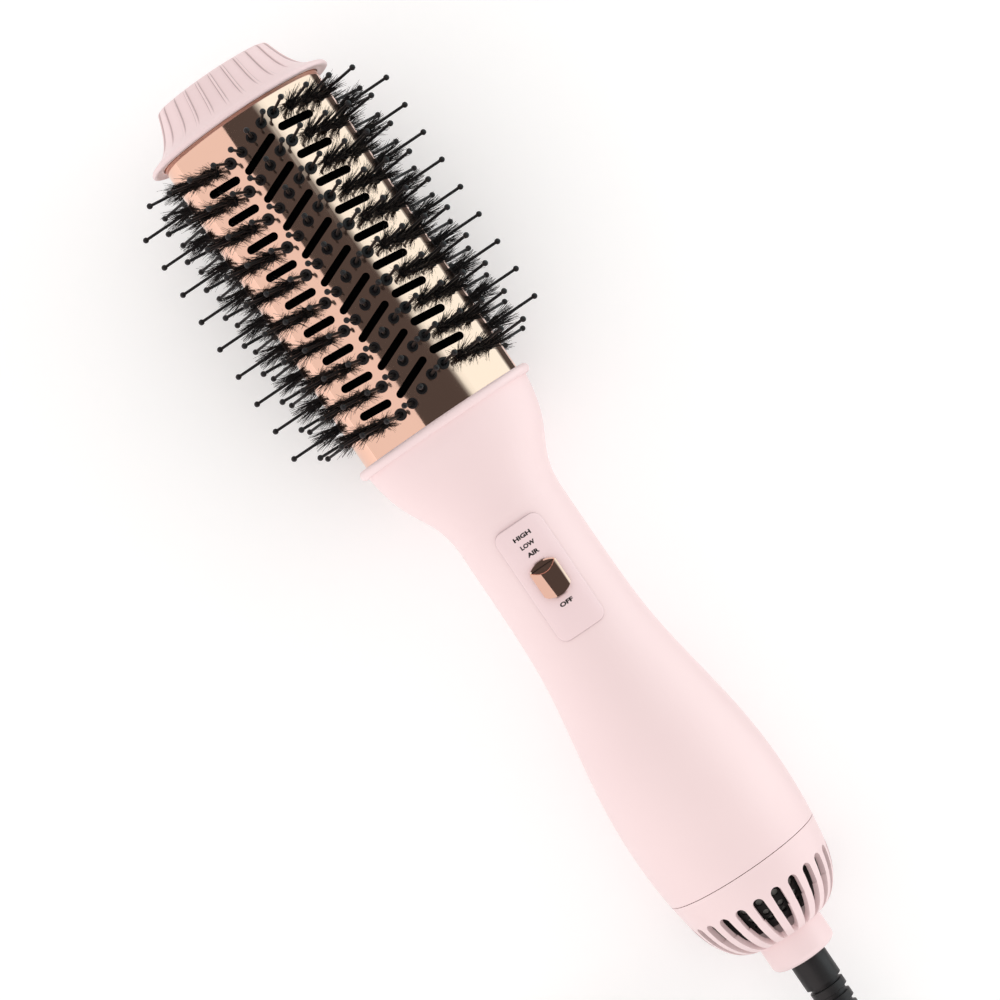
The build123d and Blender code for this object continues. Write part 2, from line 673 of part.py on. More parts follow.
def make_fan_duct():
    """The shroud round the impeller, with the ribs and sleeve that hold the motor."""
    shroud_r, sleeve_start = FAN_R + 0.5, 128.0
    with BuildPart() as duct:
        with BuildSketch(Plane.YZ.offset(140)):
            Circle(shroud_r + 1.2)
            Circle(shroud_r, mode=Mode.SUBTRACT)
        extrude(amount=FAN_END + 2 - 140)
        with BuildSketch(Plane.YZ.offset(sleeve_start)):
            Circle(MOTOR_R + 1.3)
            Circle(MOTOR_R, mode=Mode.SUBTRACT)
        extrude(amount=150 - sleeve_start)
        with BuildSketch(Plane.YZ.offset(140)):
            with PolarLocations(MOTOR_R + 5, 6):
                Rectangle(9.2, 1.4)
        extrude(amount=9)
    write(duct, "fan_duct")
    with BuildPart() as board:
        with BuildSketch(Plane.YZ.offset(108)):
            Circle(15.0)
            Circle(4.0, mode=Mode.SUBTRACT)
        extrude(amount=1.6)
        with Locations(*[Plane.YZ.offset(108) * Pos(*place) for place in ((9, 0), (-9, 0))]):
            Cylinder(2.6, 7, align=(Align.CENTER, Align.CENTER, Align.MAX))
        with Locations(*[Pos(109.6 + 1.3, y, 10.5) for y in (-5, -1.7, 1.7, 5)]):
            Box(2.6, 2.2, 4.4)
    write(board, "motor_board")


# ---------------------------------------------------------------- swivel


def make_swivel():
    with BuildPart() as housing:
        with BuildSketch(Plane.XY):
            with BuildLine():
                Polyline(
                    (181.0, 2.55), (181.0, 10.0), (195.9, 10.0), (195.9, 2.55), (193.9, 2.55),
                    (193.9, 7.6), (183.0, 7.6), (183.0, 2.55), close=True,
                )
            make_face()
        revolve(axis=Axis.X)
    write(housing, "swivel_housing")
    with BuildPart() as spindle:
        with BuildSketch(Plane.XY):
            with BuildLine():
                Polyline(
                    (180.0, 0), (180.0, 2.5), (192.0, 2.5), (192.0, 4.4), (193.4, 4.4),
                    (193.4, 2.5), (197.0, 2.5), (197.0, 0), close=True,
                )
            make_face()
        revolve(axis=Axis.X)
    write(spindle, "swivel_spindle")
    with BuildPart() as rings:
        for x in (184.6, 188.4):
            with BuildSketch(Plane.YZ.offset(x)):
                Circle(4.6)
                Circle(2.5, mode=Mode.SUBTRACT)
            extrude(amount=2.0)
    write(rings, "slip_rings")
    with BuildPart() as blades:
        for x in (184.9, 188.7):
            with Locations((x + 0.7, 0, 4.68 + 0.2), (x + 0.7, 0, -4.68 - 0.2)):
                Box(1.4, 8.0, 0.4)
    write(blades, "contact_blades")


def make_strain_relief():
    """The cord's tapered sleeve: smooth where it leaves the collar, then ribbed to its end."""
    rib_pitch, rib_width, rib_count = 4.5, 2.7, 7
    smooth_end = 223.1
    points = [(197.0, 0), (197.0, RELIEF_R), (smooth_end, RELIEF_R)]
    for index in range(rib_count):
        x = smooth_end + 1.4 + index * rib_pitch
        radius = RELIEF_R - 0.3 - 0.22 * index
        points += [(x - 1.2, radius - 0.9), (x, radius - 0.9), (x + 0.2, radius), (x + rib_width, radius),
                   (x + rib_width + 0.2, radius - 0.9)]
    points += [(RELIEF_END, CORD_D / 2 + 0.5), (RELIEF_END, 0)]
    with BuildPart() as relief:
        with BuildSketch(Plane.XY):
            with BuildLine():
                Polyline(*points, close=True)
            make_face()
        revolve(axis=Axis.X)
    write(relief, "strain_relief")


# ---------------------------------------------------------------- wires and cord


def make_wires():
    """The wires inside the handle, from the switch board to the motor board and the heater."""
    routes = [
        [(82, 6, 4), (90, 7, 5.2), (98, 8, 6), (107.9, 9, 6.4)],
        [(82, -6, 4), (90, -7, 5.2), (98, -8, 6), (107.9, -9, 6.4)],
        [(43, 5, 8), (36, 6.5, 7), (26, 7.5, 6), (12, 6.5, 3), (5, 5.5, 2)],
        [(43, -5, 8), (36, -6.5, 7), (26, -7.5, 6), (12, -6.5, 3), (8, -6, 2.2)],
    ]
    with BuildPart() as wires:
        for points in routes:
            with BuildLine() as route:
                FilletPolyline(*points, radius=6)
            first = Plane(origin=route.line @ 0, z_dir=route.line % 0)
            with BuildSketch(first):
                Circle(0.9)
            sweep(path=route.line)
    write(wires, "internal_wires")


# The cord leaves the relief's end, drops to the table and joins a coil that lies beside it. Its
# points are where it lies on the table, with the brush at rest.
EXIT = REST * Pos(RELIEF_END + CLEAR, 0, 0)
COIL_CENTRE = (242.7, -49.4)
COIL_INNER_R, COIL_OUTER_R, COIL_HEIGHT = 22.6, 48.9, 13.2
CORD_ROUTE = [
    (195.99, 0.0, 23.08), (211.1, 0.0, 22.16), (228.7, 1.6, 14.6), (246.7, -0.6, 5.8), (263.7, -9.0, 3.4),
]
TAIL_ROUTE = [(242.7, -94.9, 9.9), (221.5, -94.2, 12.9), (200.3, -92.0, 13.4)]


def cord_tube(name, points, coil):
    """A stretch of cord: straight runs joined by arcs as large as the runs allow, cut at the coil."""
    corners = [Vector(*point) for point in points]
    radii = []
    for before, corner, after in zip(corners, corners[1:], corners[2:]):
        turn = radians((corner - before).get_angle(after - corner))
        shorter = min((corner - before).length, (after - corner).length)
        radii.append(0.45 * shorter / tan(turn / 2))
    print(name, "radii", [round(radius, 1) for radius in radii])
    with BuildPart() as tube:
        with BuildLine() as route:
            FilletPolyline(*points, radius=radii)
        with BuildSketch(Plane(origin=route.line @ 0, z_dir=route.line % 0)):
            Circle(CORD_D / 2)
        sweep(path=route.line)
    length = route.wire().length
    section = pi * (CORD_D / 2) ** 2
    print(name, "length", round(length, 1), "volume share", round(tube.part.volume / section / length, 4))
    with tube:
        add(coil, mode=Mode.SUBTRACT)
    write_in_place(tube, name)


def make_cord():
    with BuildPart() as coil:
        with BuildSketch(Plane.XZ):
            with Locations(((COIL_INNER_R + COIL_OUTER_R) / 2, COIL_HEIGHT / 2 + 0.05)):
                RectangleRounded(COIL_OUTER_R - COIL_INNER_R, COIL_HEIGHT, 3.2)
        revolve(axis=Axis.Z)
    coil.part.position = (COIL_CENTRE[0], COIL_CENTRE[1], 0)
    write_in_place(coil, "cord_coil")
    cord_tube("cord_run", CORD_ROUTE, coil.part)
    cord_tube("cord_tail", TAIL_ROUTE, coil.part)


def make_plug():
    """The moulded plug and its two round pins, lying on the table beside the coil."""
    face_x, axis_y, axis_z = 152.0, -92.0, 13.4
    with BuildPart() as body:
        for x, wide, tall in ((face_x, 36, 26), (face_x + 16, 35, 25.4), (face_x + 34, 17, 14)):
            with BuildSketch(Plane.YZ.offset(x)):
                with Locations((axis_y, axis_z)):
                    RectangleRounded(wide, tall, 0.42 * tall)
        loft()
        with BuildSketch(Plane.YZ.offset(face_x + 34)):
            with Locations((axis_y, axis_z)):
                Circle(6.2)
        with BuildSketch(Plane.YZ.offset(200.0)):
            with Locations((axis_y, axis_z)):
                Circle(CORD_D / 2 + 0.6)
        loft()
    write_in_place(body, "plug_body")
    with BuildPart() as pins:
        with Locations(*[
            Plane.YZ.offset(face_x) * Pos(axis_y + side * PLUG_PIN_SPACING / 2, axis_z) for side in (1, -1)
        ]):
            Cylinder(PLUG_PIN_R, PLUG_PIN_LENGTH, align=(Align.CENTER, Align.CENTER, Align.MAX))
    write_in_place(pins, "plug_pins")


make_barrel()
make_strips()
make_end_cap()
make_barrel_ends()
make_handle()
make_rear_cover()
make_intake_screen()
make_switch()
make_switch_board()
make_heater()
make_motor()
make_fan_duct()
make_swivel()
make_strain_relief()
make_wires()
make_cord()
make_plug()
print("tilt", round(TILT, 3), "lift", round(LIFT, 3), "exit", EXIT.position)
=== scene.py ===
import json
import math
import random

import bmesh
import bpy
from mathutils import Matrix, Vector


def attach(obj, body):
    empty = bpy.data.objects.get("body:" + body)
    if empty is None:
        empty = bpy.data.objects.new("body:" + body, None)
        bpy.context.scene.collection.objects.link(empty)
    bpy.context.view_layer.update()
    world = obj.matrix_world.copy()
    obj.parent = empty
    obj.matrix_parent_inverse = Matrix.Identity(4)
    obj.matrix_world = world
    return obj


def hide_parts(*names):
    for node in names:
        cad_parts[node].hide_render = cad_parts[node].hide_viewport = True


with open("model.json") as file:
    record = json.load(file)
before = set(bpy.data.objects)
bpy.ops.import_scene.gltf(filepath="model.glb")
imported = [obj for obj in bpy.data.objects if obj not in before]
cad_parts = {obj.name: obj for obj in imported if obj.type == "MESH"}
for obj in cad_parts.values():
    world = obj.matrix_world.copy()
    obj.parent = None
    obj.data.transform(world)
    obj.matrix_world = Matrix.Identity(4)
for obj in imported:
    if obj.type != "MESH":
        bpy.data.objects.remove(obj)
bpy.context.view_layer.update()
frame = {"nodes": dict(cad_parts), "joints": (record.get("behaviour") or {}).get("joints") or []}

# %% [markdown]
# This file dresses a hot air brush: an oval rose gold barrel full of pins and bristle, a pale pink
# handle with a slide switch, and a black cord. The parts that have to fit, such as the shells, the
# barrel and the pins, arrive already made, as the frame. What is left for Blender is what a
# machinist's model can't say well: the bristle, the polished knob, the printed words, the cord and
# every surface finish.
#
# The brush lies on a table, so its own axis dips a little towards the cord. It would be possible to
# write every position in table coordinates, but lengths along a tilted handle are hard to read. So a
# matrix is made once, from the swivel joint that lies on the axis, and each new piece is drawn in the
# brush's own frame and then laid down by that matrix.

# %% The brush's own frame

MM = 0.001
joints = {joint["name"]: joint for joint in frame["joints"]}
swivel = joints["cord_swivel"]
ALONG = Vector(swivel["axis"]).normalized()
SWIVEL_X = 190 * MM  # where the swivel's centre lies, back from the barrel collar's front
OVER = ALONG.cross(Vector((0, 1, 0))).normalized()
BRUSH = Matrix((ALONG, Vector((0, 1, 0)), OVER)).transposed().to_4x4()
BRUSH.translation = Vector(swivel["pos_m"]) - ALONG * SWIVEL_X
print("the collar's front is at", [round(c, 4) for c in BRUSH.translation])


def lay_down(mesh):
    """Puts a mesh that is drawn in the brush's own frame where the brush lies."""
    mesh.transform(BRUSH)
    mesh.update()


# %% [markdown]
# The camera looks straight at the brush's axis from just over nine tenths of a metre, with a long
# lens, and it is rolled so that the brush runs down the view to the right. A look-at constraint
# would do, but the roll is the point of this view, so the camera's own axes are written out.

# %% Camera

EYE_DISTANCE = 950 * MM
EYE_X, EYE_Y = 33.1 * MM, 0.7 * MM
ROLL = math.radians(55.85)  # how far below level the brush's axis runs
MM_ACROSS = 327.9  # width of the view at the brush's axis
SENSOR_WIDTH = 36  # mm
right = Vector((math.cos(ROLL), math.sin(ROLL), 0))
up = Vector((-math.sin(ROLL), math.cos(ROLL), 0))
eye_frame = Matrix((right, up, Vector((0, 0, 1)))).transposed().to_4x4()
eye_frame.translation = Vector((EYE_X, EYE_Y, EYE_DISTANCE))
camera = bpy.data.objects.new("camera", bpy.data.cameras.new("camera"))
bpy.context.scene.collection.objects.link(camera)
camera.data.sensor_width = SENSOR_WIDTH
camera.data.lens = SENSOR_WIDTH * EYE_DISTANCE / (MM_ACROSS * MM)
camera.data.clip_end = 20
camera.matrix_world = BRUSH @ eye_frame
bpy.context.scene.camera = camera
print("lens", round(camera.data.lens, 1), "mm")

# %% [markdown]
# The cord is one smooth curve of its real length, about 1.75 m of round 6.5 mm lead. It leaves the
# strain relief, sinks to the table and is then wound up beside the brush, as for storage. A NURBS
# curve is used because it never shows a corner at its points. The coil is wound by a loop: each turn
# keeps one radius and steps over by one cord's width in its last fifth, so turns lie side by side
# and never run through each other. The first four turns go inwards on the table and the others come
# back outwards on top of them.

# %% Cord and coil

CORD_D = 6.5 * MM
ROUTE = [
    (195.99, 0.0, 23.08), (211.1, 0.0, 22.16), (228.7, 1.6, 14.6), (246.7, -0.6, 5.8), (263.7, -9.0, 3.4),
]
TAIL = [(242.7, -94.9, 9.9), (221.5, -94.2, 12.9), (200.3, -92.0, 13.4)]
COIL_CENTRE = (242.7, -49.4)
LOW_TURN, HIGH_TURN = 3.35, 9.9  # heights of the two layers
TURNS = [(45.5, LOW_TURN), (39.0, LOW_TURN), (32.5, LOW_TURN), (26.0, LOW_TURN),
         (26.0, HIGH_TURN), (32.5, HIGH_TURN), (39.0, HIGH_TURN), (45.5, HIGH_TURN)]
STEPS = 15  # points in each turn
STEP_SHARE = 0.2  # the part of a turn in which it steps over to the next


def eased(share):
    """A share from 0 to 1 that starts and stops softly."""
    return share * share * (3 - 2 * share)


def coil_points():
    """The coil's turns, clockwise, from where the lead-in meets it to where the tail leaves it."""
    first = math.atan2(ROUTE[-1][1] - COIL_CENTRE[1], ROUTE[-1][0] - COIL_CENTRE[0])
    last_share = (first + math.pi / 2) / (2 * math.pi)
    count = round((len(TURNS) - 1 + last_share) * STEPS)
    points = []
    for index in range(1, count):
        turns = index / STEPS
        number = int(turns)
        radius, height = TURNS[number]
        after = TURNS[min(number + 1, len(TURNS) - 1)]
        share = max(0.0, (turns - number - 1 + STEP_SHARE) / STEP_SHARE)
        radius += (after[0] - radius) * eased(share)
        height += (after[1] - height) * eased(share)
        angle = first - 2 * math.pi * turns
        points.append((COIL_CENTRE[0] + radius * math.cos(angle),
                       COIL_CENTRE[1] + radius * math.sin(angle), height))
    return points


cord_curve = bpy.data.curves.new("mains_cord", "CURVE")
cord_curve.dimensions = "3D"
cord_spline = cord_curve.splines.new("NURBS")
cord_line = ROUTE + coil_points() + TAIL
cord_spline.points.add(len(cord_line) - 1)
for point, place in zip(cord_spline.points, cord_line):
    point.co = (*[c * MM for c in place], 1)
    point.radius = CORD_D / 2  # the curve's measured box grows by this, so the bevel is one unit deep
cord_spline.order_u = 3
cord_spline.use_endpoint_u = True
cord_spline.resolution_u = 5
cord_curve.bevel_depth = 1.0
cord_curve.bevel_resolution = 4
cord_curve.use_fill_caps = True
mains_cord = bpy.data.objects.new("mains_cord", cord_curve)
bpy.context.scene.collection.objects.link(mains_cord)
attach(mains_cord, "root")
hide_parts("cord_run", "cord_coil", "cord_tail")
print("cord points", len(cord_line))

# %% [markdown]
# Materials are built from a few lines of arithmetic. A small class wraps one output socket and
# overloads the operators, so a mask can be written as 1 - wear * 0.5 and the nodes appear by
# themselves.

# %% Shader arithmetic


class Field:
    """A value that varies over a surface: one output socket that takes part in arithmetic."""

    def __init__(self, finish, socket):
        self.finish, self.socket = finish, socket

    def _with(self, operation, *terms):
        return self.finish.node("ShaderNodeMath", {"operation": operation}, terms)

    def __add__(self, other):
        return self._with("ADD", self, other)

    __radd__ = __add__

    def __sub__(self, other):
        return self._with("SUBTRACT", self, other)

    def __rsub__(self, other):
        return self._with("SUBTRACT", other, self)

    def __mul__(self, other):
        return self._with("MULTIPLY", self, other)

    __rmul__ = __mul__

    def between(self, low, high):
        """0 below low and 1 above high, smooth from one to the other."""
        smooth = {"interpolation_type": "SMOOTHSTEP"}
        inputs = {"Value": self, "From Min": low, "From Max": high}
        return self.finish.node("ShaderNodeMapRange", smooth, inputs)


# %% [markdown]
# A finish starts from the shader that suits plastic, metal and rubber alike, the Principled one, and
# offers the few patterns that this brush needs. The nodes could be placed by hand, but the same ones
# would have to be drawn again for each material. Everything varies with Object coordinates in metres,
# because every piece keeps its place in its mesh, and so a pattern stays on the piece wherever a
# joint carries it.

# %% A material in the making


class Finish:
    """A material in the making: its shader, and one way to make any other node."""

    MIX_FIRST, MIX_SECOND, MIX_COLOUR = 6, 7, 2  # the colour sockets of a Mix node

    def __init__(self, name, colour, roughness, metallic=0.0, **fixed):
        self.material = bpy.data.materials.new(name)
        self.material.use_nodes = True
        self.tree = self.material.node_tree
        self.shader = self.tree.nodes["Principled BSDF"]
        self.colour = (*colour, 1.0)
        self.material.diffuse_color = self.colour
        self.put("Base Color", self.colour)
        self.put("Roughness", roughness)
        self.put("Metallic", metallic)
        for socket, value in fixed.items():
            self.put(socket.replace("_", " ").title().replace("Ior", "IOR"), value)

    def put(self, socket, value):
        """Sets one of the shader's inputs, or links a field to it."""
        target = self.shader.inputs[socket]
        if isinstance(value, Field):
            self.tree.links.new(value.socket, target)
        else:
            target.default_value = value

    def node(self, kind, settings=None, inputs=(), output=0):
        """Adds a node: its settings first, then its inputs by number or by name."""
        made = self.tree.nodes.new(kind)
        for name, value in (settings or {}).items():
            setattr(made, name, value)
        pairs = inputs.items() if isinstance(inputs, dict) else enumerate(inputs)
        for key, value in pairs:
            if isinstance(value, Field):
                self.tree.links.new(value.socket, made.inputs[key])
            else:
                made.inputs[key].default_value = value
        return Field(self, made.outputs[output])

    def place(self):
        """Where a point is, in metres, as Object coordinates."""
        return self.node("ShaderNodeTexCoord", output="Object")

    def noise(self, scale, detail=3.0, squeeze=None):
        """Noise with scale features a metre, squeezed by its own factors along X, Y and Z."""
        where = self.place()
        if squeeze:
            where = self.node("ShaderNodeMapping", None, {"Vector": where, "Scale": squeeze})
        return self.node("ShaderNodeTexNoise", None, {"Vector": where, "Scale": scale, "Detail": detail})

    def mix(self, share, first, second):
        """A colour between two, by a share that varies. Either can be a field or three numbers."""
        first, second = (
            value if isinstance(value, Field) else (*value, 1.0) for value in (first, second)
        )
        inputs = {0: share, self.MIX_FIRST: first, self.MIX_SECOND: second}
        return self.node("ShaderNodeMix", {"data_type": "RGBA"}, inputs, self.MIX_COLOUR)

    def drift_roughness(self, mask, middle, spread):
        """Roughness that a mask from 0 to 1 moves by spread about its middle value."""
        self.put("Roughness", mask * spread + (middle - spread / 2))

    def bump(self, height, distance, strength=1.0):
        """Raises the surface by height, a field from 0 to 1, times distance in metres."""
        inputs = {"Height": height, "Distance": distance, "Strength": strength}
        self.put("Normal", self.node("ShaderNodeBump", None, inputs))


def dress(material, *nodes):
    """Gives a finish to parts of the frame."""
    for node in nodes:
        mesh = frame["nodes"][node].data
        mesh.materials.clear()
        mesh.materials.append(material)
    print(material.name, "on", len(nodes), "parts")


# %% [markdown]
# The shells are moulded plastic with a pale pink soft-touch coat. Paint like this is nearly even,
# but it has a very fine grain and faint changes of gloss where hands polish it. A flat colour would
# look like a computer's idea of plastic, so three sizes of noise are used: grain for the bump,
# smudges for the roughness and a slow drift for the colour. Two pieces have creases where shade
# collects, and that shade is painted into their colour: their meshes will carry a number for it at
# each corner, which darkens the paint.

# %% Pink finishes

SHELL_PINK, SHELL_SHADE = (0.885, 0.70, 0.70), (0.865, 0.68, 0.683)
PLATE_PINK, PLATE_SHADE = (0.86, 0.67, 0.68), (0.845, 0.655, 0.665)
CREASE_SHADE = 0.6  # how much of its brightness the paint keeps in a crease, where shade is painted


def soft_touch(name, colour, shade, roughness, crease_shading=False):
    """Pink paint. With creases asked for, a mesh's own crease attribute says where shade is painted darker.
    """
    coat = Finish(name, colour, roughness, specular_ior_level=0.38, sheen_weight=0.12,
                  sheen_roughness=0.4)
    drift = coat.noise(14, 2).between(0.35, 0.7)
    paint = coat.mix(drift, colour, shade)
    if crease_shading:
        # The crease attribute darkens the colour: painted shade in the creases.
        factor = 2  # the attribute node's output for plain numbers
        painted_crease_shade = coat.node("ShaderNodeAttribute", {"attribute_name": "painted_crease_shade"}, output=factor)
        paint = coat.mix(painted_crease_shade, paint, tuple(c * CREASE_SHADE for c in shade))
    coat.put("Base Color", paint)
    coat.drift_roughness(coat.noise(60, 4).between(0.3, 0.75), roughness, 0.1)
    coat.bump(coat.noise(2600, 2), 0.04 * MM, 0.35)
    return coat.material


pink_shell = soft_touch("pink_shell", SHELL_PINK, SHELL_SHADE, 0.47)
pink_ribbed = soft_touch("pink_ribbed", SHELL_PINK, SHELL_SHADE, 0.47, crease_shading=True)
pink_plate = soft_touch("pink_plate", PLATE_PINK, PLATE_SHADE, 0.42, crease_shading=True)
dress(pink_shell, "handle_upper_shell", "handle_lower_shell", "rear_cover", "end_cap", "barrel_collar")
dress(pink_plate, "switch_plate")

# %% [markdown]
# The barrel is polished, rose gold coated metal. Its look comes from what it reflects, so the finish
# itself stays simple: a metal with a warm colour, almost smooth, with faint polishing lines round the
# barrel and a few soft smears that make the reflections believable.

# %% Rose gold


def rose_gold(name, colour, roughness, line_scale):
    """Polished metal with fine lines across the brush, closer with a higher line_scale."""
    gold = Finish(name, colour, roughness, metallic=1.0)
    lines = gold.noise(line_scale, 2, squeeze=(8.0, 0.35, 0.35))
    smear = gold.noise(45, 3).between(0.35, 0.8)
    gold.put("Roughness", smear * 0.05 + lines * 0.03 + (roughness - 0.03))
    gold.bump(lines, 0.002 * MM, 0.2)
    return gold


barrel_finish = rose_gold("rose_gold_barrel", (0.90, 0.565, 0.44), 0.07, 420)
rose_gold_knob = rose_gold("rose_gold_knob", (0.86, 0.52, 0.41), 0.06, 900).material
dress(barrel_finish.material, "barrel_shell")

# %% [markdown]
# Pins, bristle, sleeve and cord are all black, but nylon, bristle, rubber and PVC don't shine alike,
# and it is the shine that tells them apart: satin pins, dull bristle, a rubbery sleeve and a cord
# jacket with a slight extruded grain. The hidden plastics, boards and mica use the same recipe.

# %% Black finishes

WARM_SHINE = (1.0, 0.86, 0.85, 1.0)  # keeps a cool reflection from turning black parts teal
FINE, RUBBERY, EXTRUDED = (1800, 0.03 * MM), (1200, 0.06 * MM), (900, 0.05 * MM)  # grain and depth


def moulded(name, colour, roughness, texture=FINE, **fixed):
    """A plastic or rubber with its own grain, slightly cloudy in shine and colour."""
    grain, depth = texture
    plastic = Finish(name, colour, roughness, specular_tint=WARM_SHINE, **fixed)
    cloud = plastic.noise(120, 3).between(0.3, 0.75)
    plastic.drift_roughness(cloud, roughness, 0.14)
    plastic.put("Base Color", plastic.mix(cloud, colour, tuple(c * 0.8 for c in colour)))
    plastic.bump(plastic.noise(grain, 2), depth, 0.4)
    return plastic


pin_finish = moulded("pin_nylon", (0.010, 0.010, 0.011), 0.36, specular_ior_level=0.33)
pin_nylon = pin_finish.material
bristle_black = moulded("bristle", (0.010, 0.010, 0.011), 0.5, specular_ior_level=0.3).material
black_plastic = moulded("black_plastic", (0.010, 0.010, 0.010), 0.5, specular_ior_level=0.25).material
black_rubber = moulded("black_rubber", (0.020, 0.020, 0.021), 0.46, RUBBERY, specular_ior_level=0.35).material
cord_jacket = moulded("cord_jacket", (0.018, 0.018, 0.019), 0.42, EXTRUDED, specular_ior_level=0.35).material
gauze_grey = moulded("gauze_grey", (0.30, 0.30, 0.28), 0.55).material
white_plastic = moulded("white_plastic", (0.74, 0.74, 0.72), 0.45).material
circuit_board = moulded("circuit_board", (0.03, 0.16, 0.07), 0.4).material
mica = moulded("mica", (0.012, 0.010, 0.009), 0.9, (500, 0.03 * MM), specular_ior_level=0.08).material
print("black, grey, white, board and mica finishes made")

# %% [markdown]
# Through the air slots one looks past the pins' rails into the barrel's shaded inside, and a real slot
# looks black. The rails are one part with their pins, and the barrel's inner side is one part with its
# polished skin, so they can't simply have another material. Their finishes fade instead into a dead
# black inside the barrel's wall, which is painted shade. An ellipse, worked out from Object
# coordinates, is the border.

# %% Dead black inside the barrel, as painted shade

BARREL_HALF_WIDTH, BARREL_HALF_DEPTH = 29.8, 20.6  # mm
BLACK_BELOW, UNSHADED_ABOVE = 0.95, 0.975  # squared shares of the barrel's outside: full painted shade below the first, none above the second


def paint_shade_inside(finish):
    """Mixes a finish into dead black inside the barrel's wall, as painted shade."""
    apart = finish.node("ShaderNodeSeparateXYZ", None, [finish.place()]).socket.node
    x, y, z = (Field(finish, apart.outputs[axis]) for axis in "XYZ")
    middle = BRUSH.translation
    over = (x - middle.x) * OVER.x + (z - middle.z) * OVER.z
    wide, deep = y * (1 / (BARREL_HALF_WIDTH * MM)), over * (1 / (BARREL_HALF_DEPTH * MM))
    outside = (wide * wide + deep * deep).between(BLACK_BELOW, UNSHADED_ABOVE)
    black = finish.tree.nodes.new("ShaderNodeBsdfDiffuse")
    black.inputs["Color"].default_value = (0.001, 0.001, 0.001, 1)
    both = finish.tree.nodes.new("ShaderNodeMixShader")
    finish.tree.links.new(outside.socket, both.inputs[0])
    finish.tree.links.new(black.outputs[0], both.inputs[1])
    finish.tree.links.new(finish.shader.outputs[0], both.inputs[2])
    finish.tree.links.new(both.outputs[0], finish.tree.nodes["Material Output"].inputs["Surface"])


paint_shade_inside(pin_finish)
paint_shade_inside(barrel_finish)
print("the rails and the barrel's inner side are black")

# %% [markdown]
# The hidden parts are dressed too, because the brush comes apart on a bench. Steel, brass and the
# heating wire are bare metals with drawn lines, and one function makes all three.

# %% Metals


def bare_metal(name, colour, roughness):
    """A metal with faint lines drawn along the brush."""
    metal = Finish(name, colour, roughness, metallic=1.0)
    lines = metal.noise(700, 3, squeeze=(0.4, 5.0, 5.0))
    metal.drift_roughness(lines, roughness, 0.18)
    metal.bump(lines, 0.02 * MM, 0.3)
    return metal.material


steel = bare_metal("steel", (0.62, 0.62, 0.64), 0.32)
brass = bare_metal("brass", (0.80, 0.62, 0.30), 0.3)
heating_wire = bare_metal("heating_wire", (0.33, 0.30, 0.28), 0.5)
strips = [name for name in frame["nodes"] if name.startswith(("pin_strips", "bristle_strip"))]
dress(pin_nylon, *strips)
dress(black_plastic, "barrel_front_ring", "barrel_rear_ring", "intake_screen", "slide_switch",
      "swivel_housing", "swivel_spindle")
dress(white_plastic, "fan_duct", "impeller")
dress(black_rubber, "strain_relief")
dress(cord_jacket, "plug_body", "internal_wires")
dress(steel, "end_cap_screws", "handle_screws", "motor_can", "motor_shaft", "motor_rotor", "thermostat")
dress(brass, "slip_rings", "contact_blades", "plug_pins", "thermal_fuse")
dress(heating_wire, "heater_wire")
dress(mica, "mica_plate_flat", "mica_plate_upright", "mica_sleeve")
dress(circuit_board, "switch_board", "motor_board")
mains_cord.data.materials.append(cord_jacket)

# %% [markdown]
# Each tuft is a bundle of black filaments that stands round a pin, tight at its foot and bursting
# outwards at its tip. Particle hair could grow them, but hair isn't a mesh that travels with the
# part, and each tuft has to be trimmed to length like the real brush. So the filaments are made one
# by one, and first comes the map of where they stand: the barrel's oval outline is two flat arcs and
# two tight ones, and each tuft has a place along it.

# %% Where the tufts stand

TIGHT_R = 16.3  # radius of the barrel's two narrow sides
TIGHT_C = BARREL_HALF_WIDTH - TIGHT_R
RISE = BARREL_HALF_DEPTH - TIGHT_R
FLAT_C = (TIGHT_C**2 - RISE**2) / (2 * RISE)
FLAT_R = BARREL_HALF_DEPTH + FLAT_C
FLAT_TURN = math.pi / 2 - math.atan2(FLAT_C, TIGHT_C)  # how far round the flat arc reaches
FLAT_ARC = FLAT_R * FLAT_TURN
QUARTER_ARC = FLAT_ARC + TIGHT_R * (math.pi / 2 - FLAT_TURN)
HALF_TURN = Matrix.Rotation(math.pi, 4, "X")  # carries the front face to the back
FIRST_ROW, ROW_PITCH, ROWS = -107.9, 10.82, 10
BRISTLE_COLUMNS = [(16.9, -2.25), (23.0, -1.35), (28.4, -0.2)]  # arc from the middle, shift along X


def station(x, arc):
    """A matrix on the barrel's surface, in mm, with its Z straight out of the barrel."""
    side = 1 if arc >= 0 else -1
    if abs(arc) <= FLAT_ARC:
        lean = abs(arc) / FLAT_R
        y, z = FLAT_R * math.sin(lean), FLAT_R * math.cos(lean) - FLAT_C
    else:
        lean = FLAT_TURN + (abs(arc) - FLAT_ARC) / TIGHT_R
        y, z = TIGHT_C + TIGHT_R * math.sin(lean), TIGHT_R * math.cos(lean)
    turn = Matrix.Rotation(-side * lean, 4, "X")
    return Matrix.Translation((x, side * y, z)) @ turn


def tuft_places():
    """The tufts' places, in two lists: the side towards +Y and the side towards -Y."""
    places = {"left": [], "right": []}
    for row in range(ROWS):
        for arc, shift in BRISTLE_COLUMNS:
            for way, side, other in ((1, "left", "right"), (-1, "right", "left")):
                place = station(FIRST_ROW + row * ROW_PITCH + way * shift, way * arc)
                places[side].append(place)
                places[other].append(HALF_TURN @ place)
    for row in range(ROWS - 1):
        middle = FIRST_ROW + (row + 0.5) * ROW_PITCH
        places["left"].append(station(middle, QUARTER_ARC))
        places["right"].append(station(middle, -QUARTER_ARC))
    return places


tufts = tuft_places()
print("tufts", {side: len(places) for side, places in tufts.items()})

# %% [markdown]
# Every filament is a thin three-sided spike with a slight crimp, made of fourteen faces. A seeded
# random generator gives each one its own foot, length, lean and wave, so the bristle never looks
# combed, yet comes out the same each time. A filament that leans far stands lower, because its
# length stays what it is.

# %% Filaments

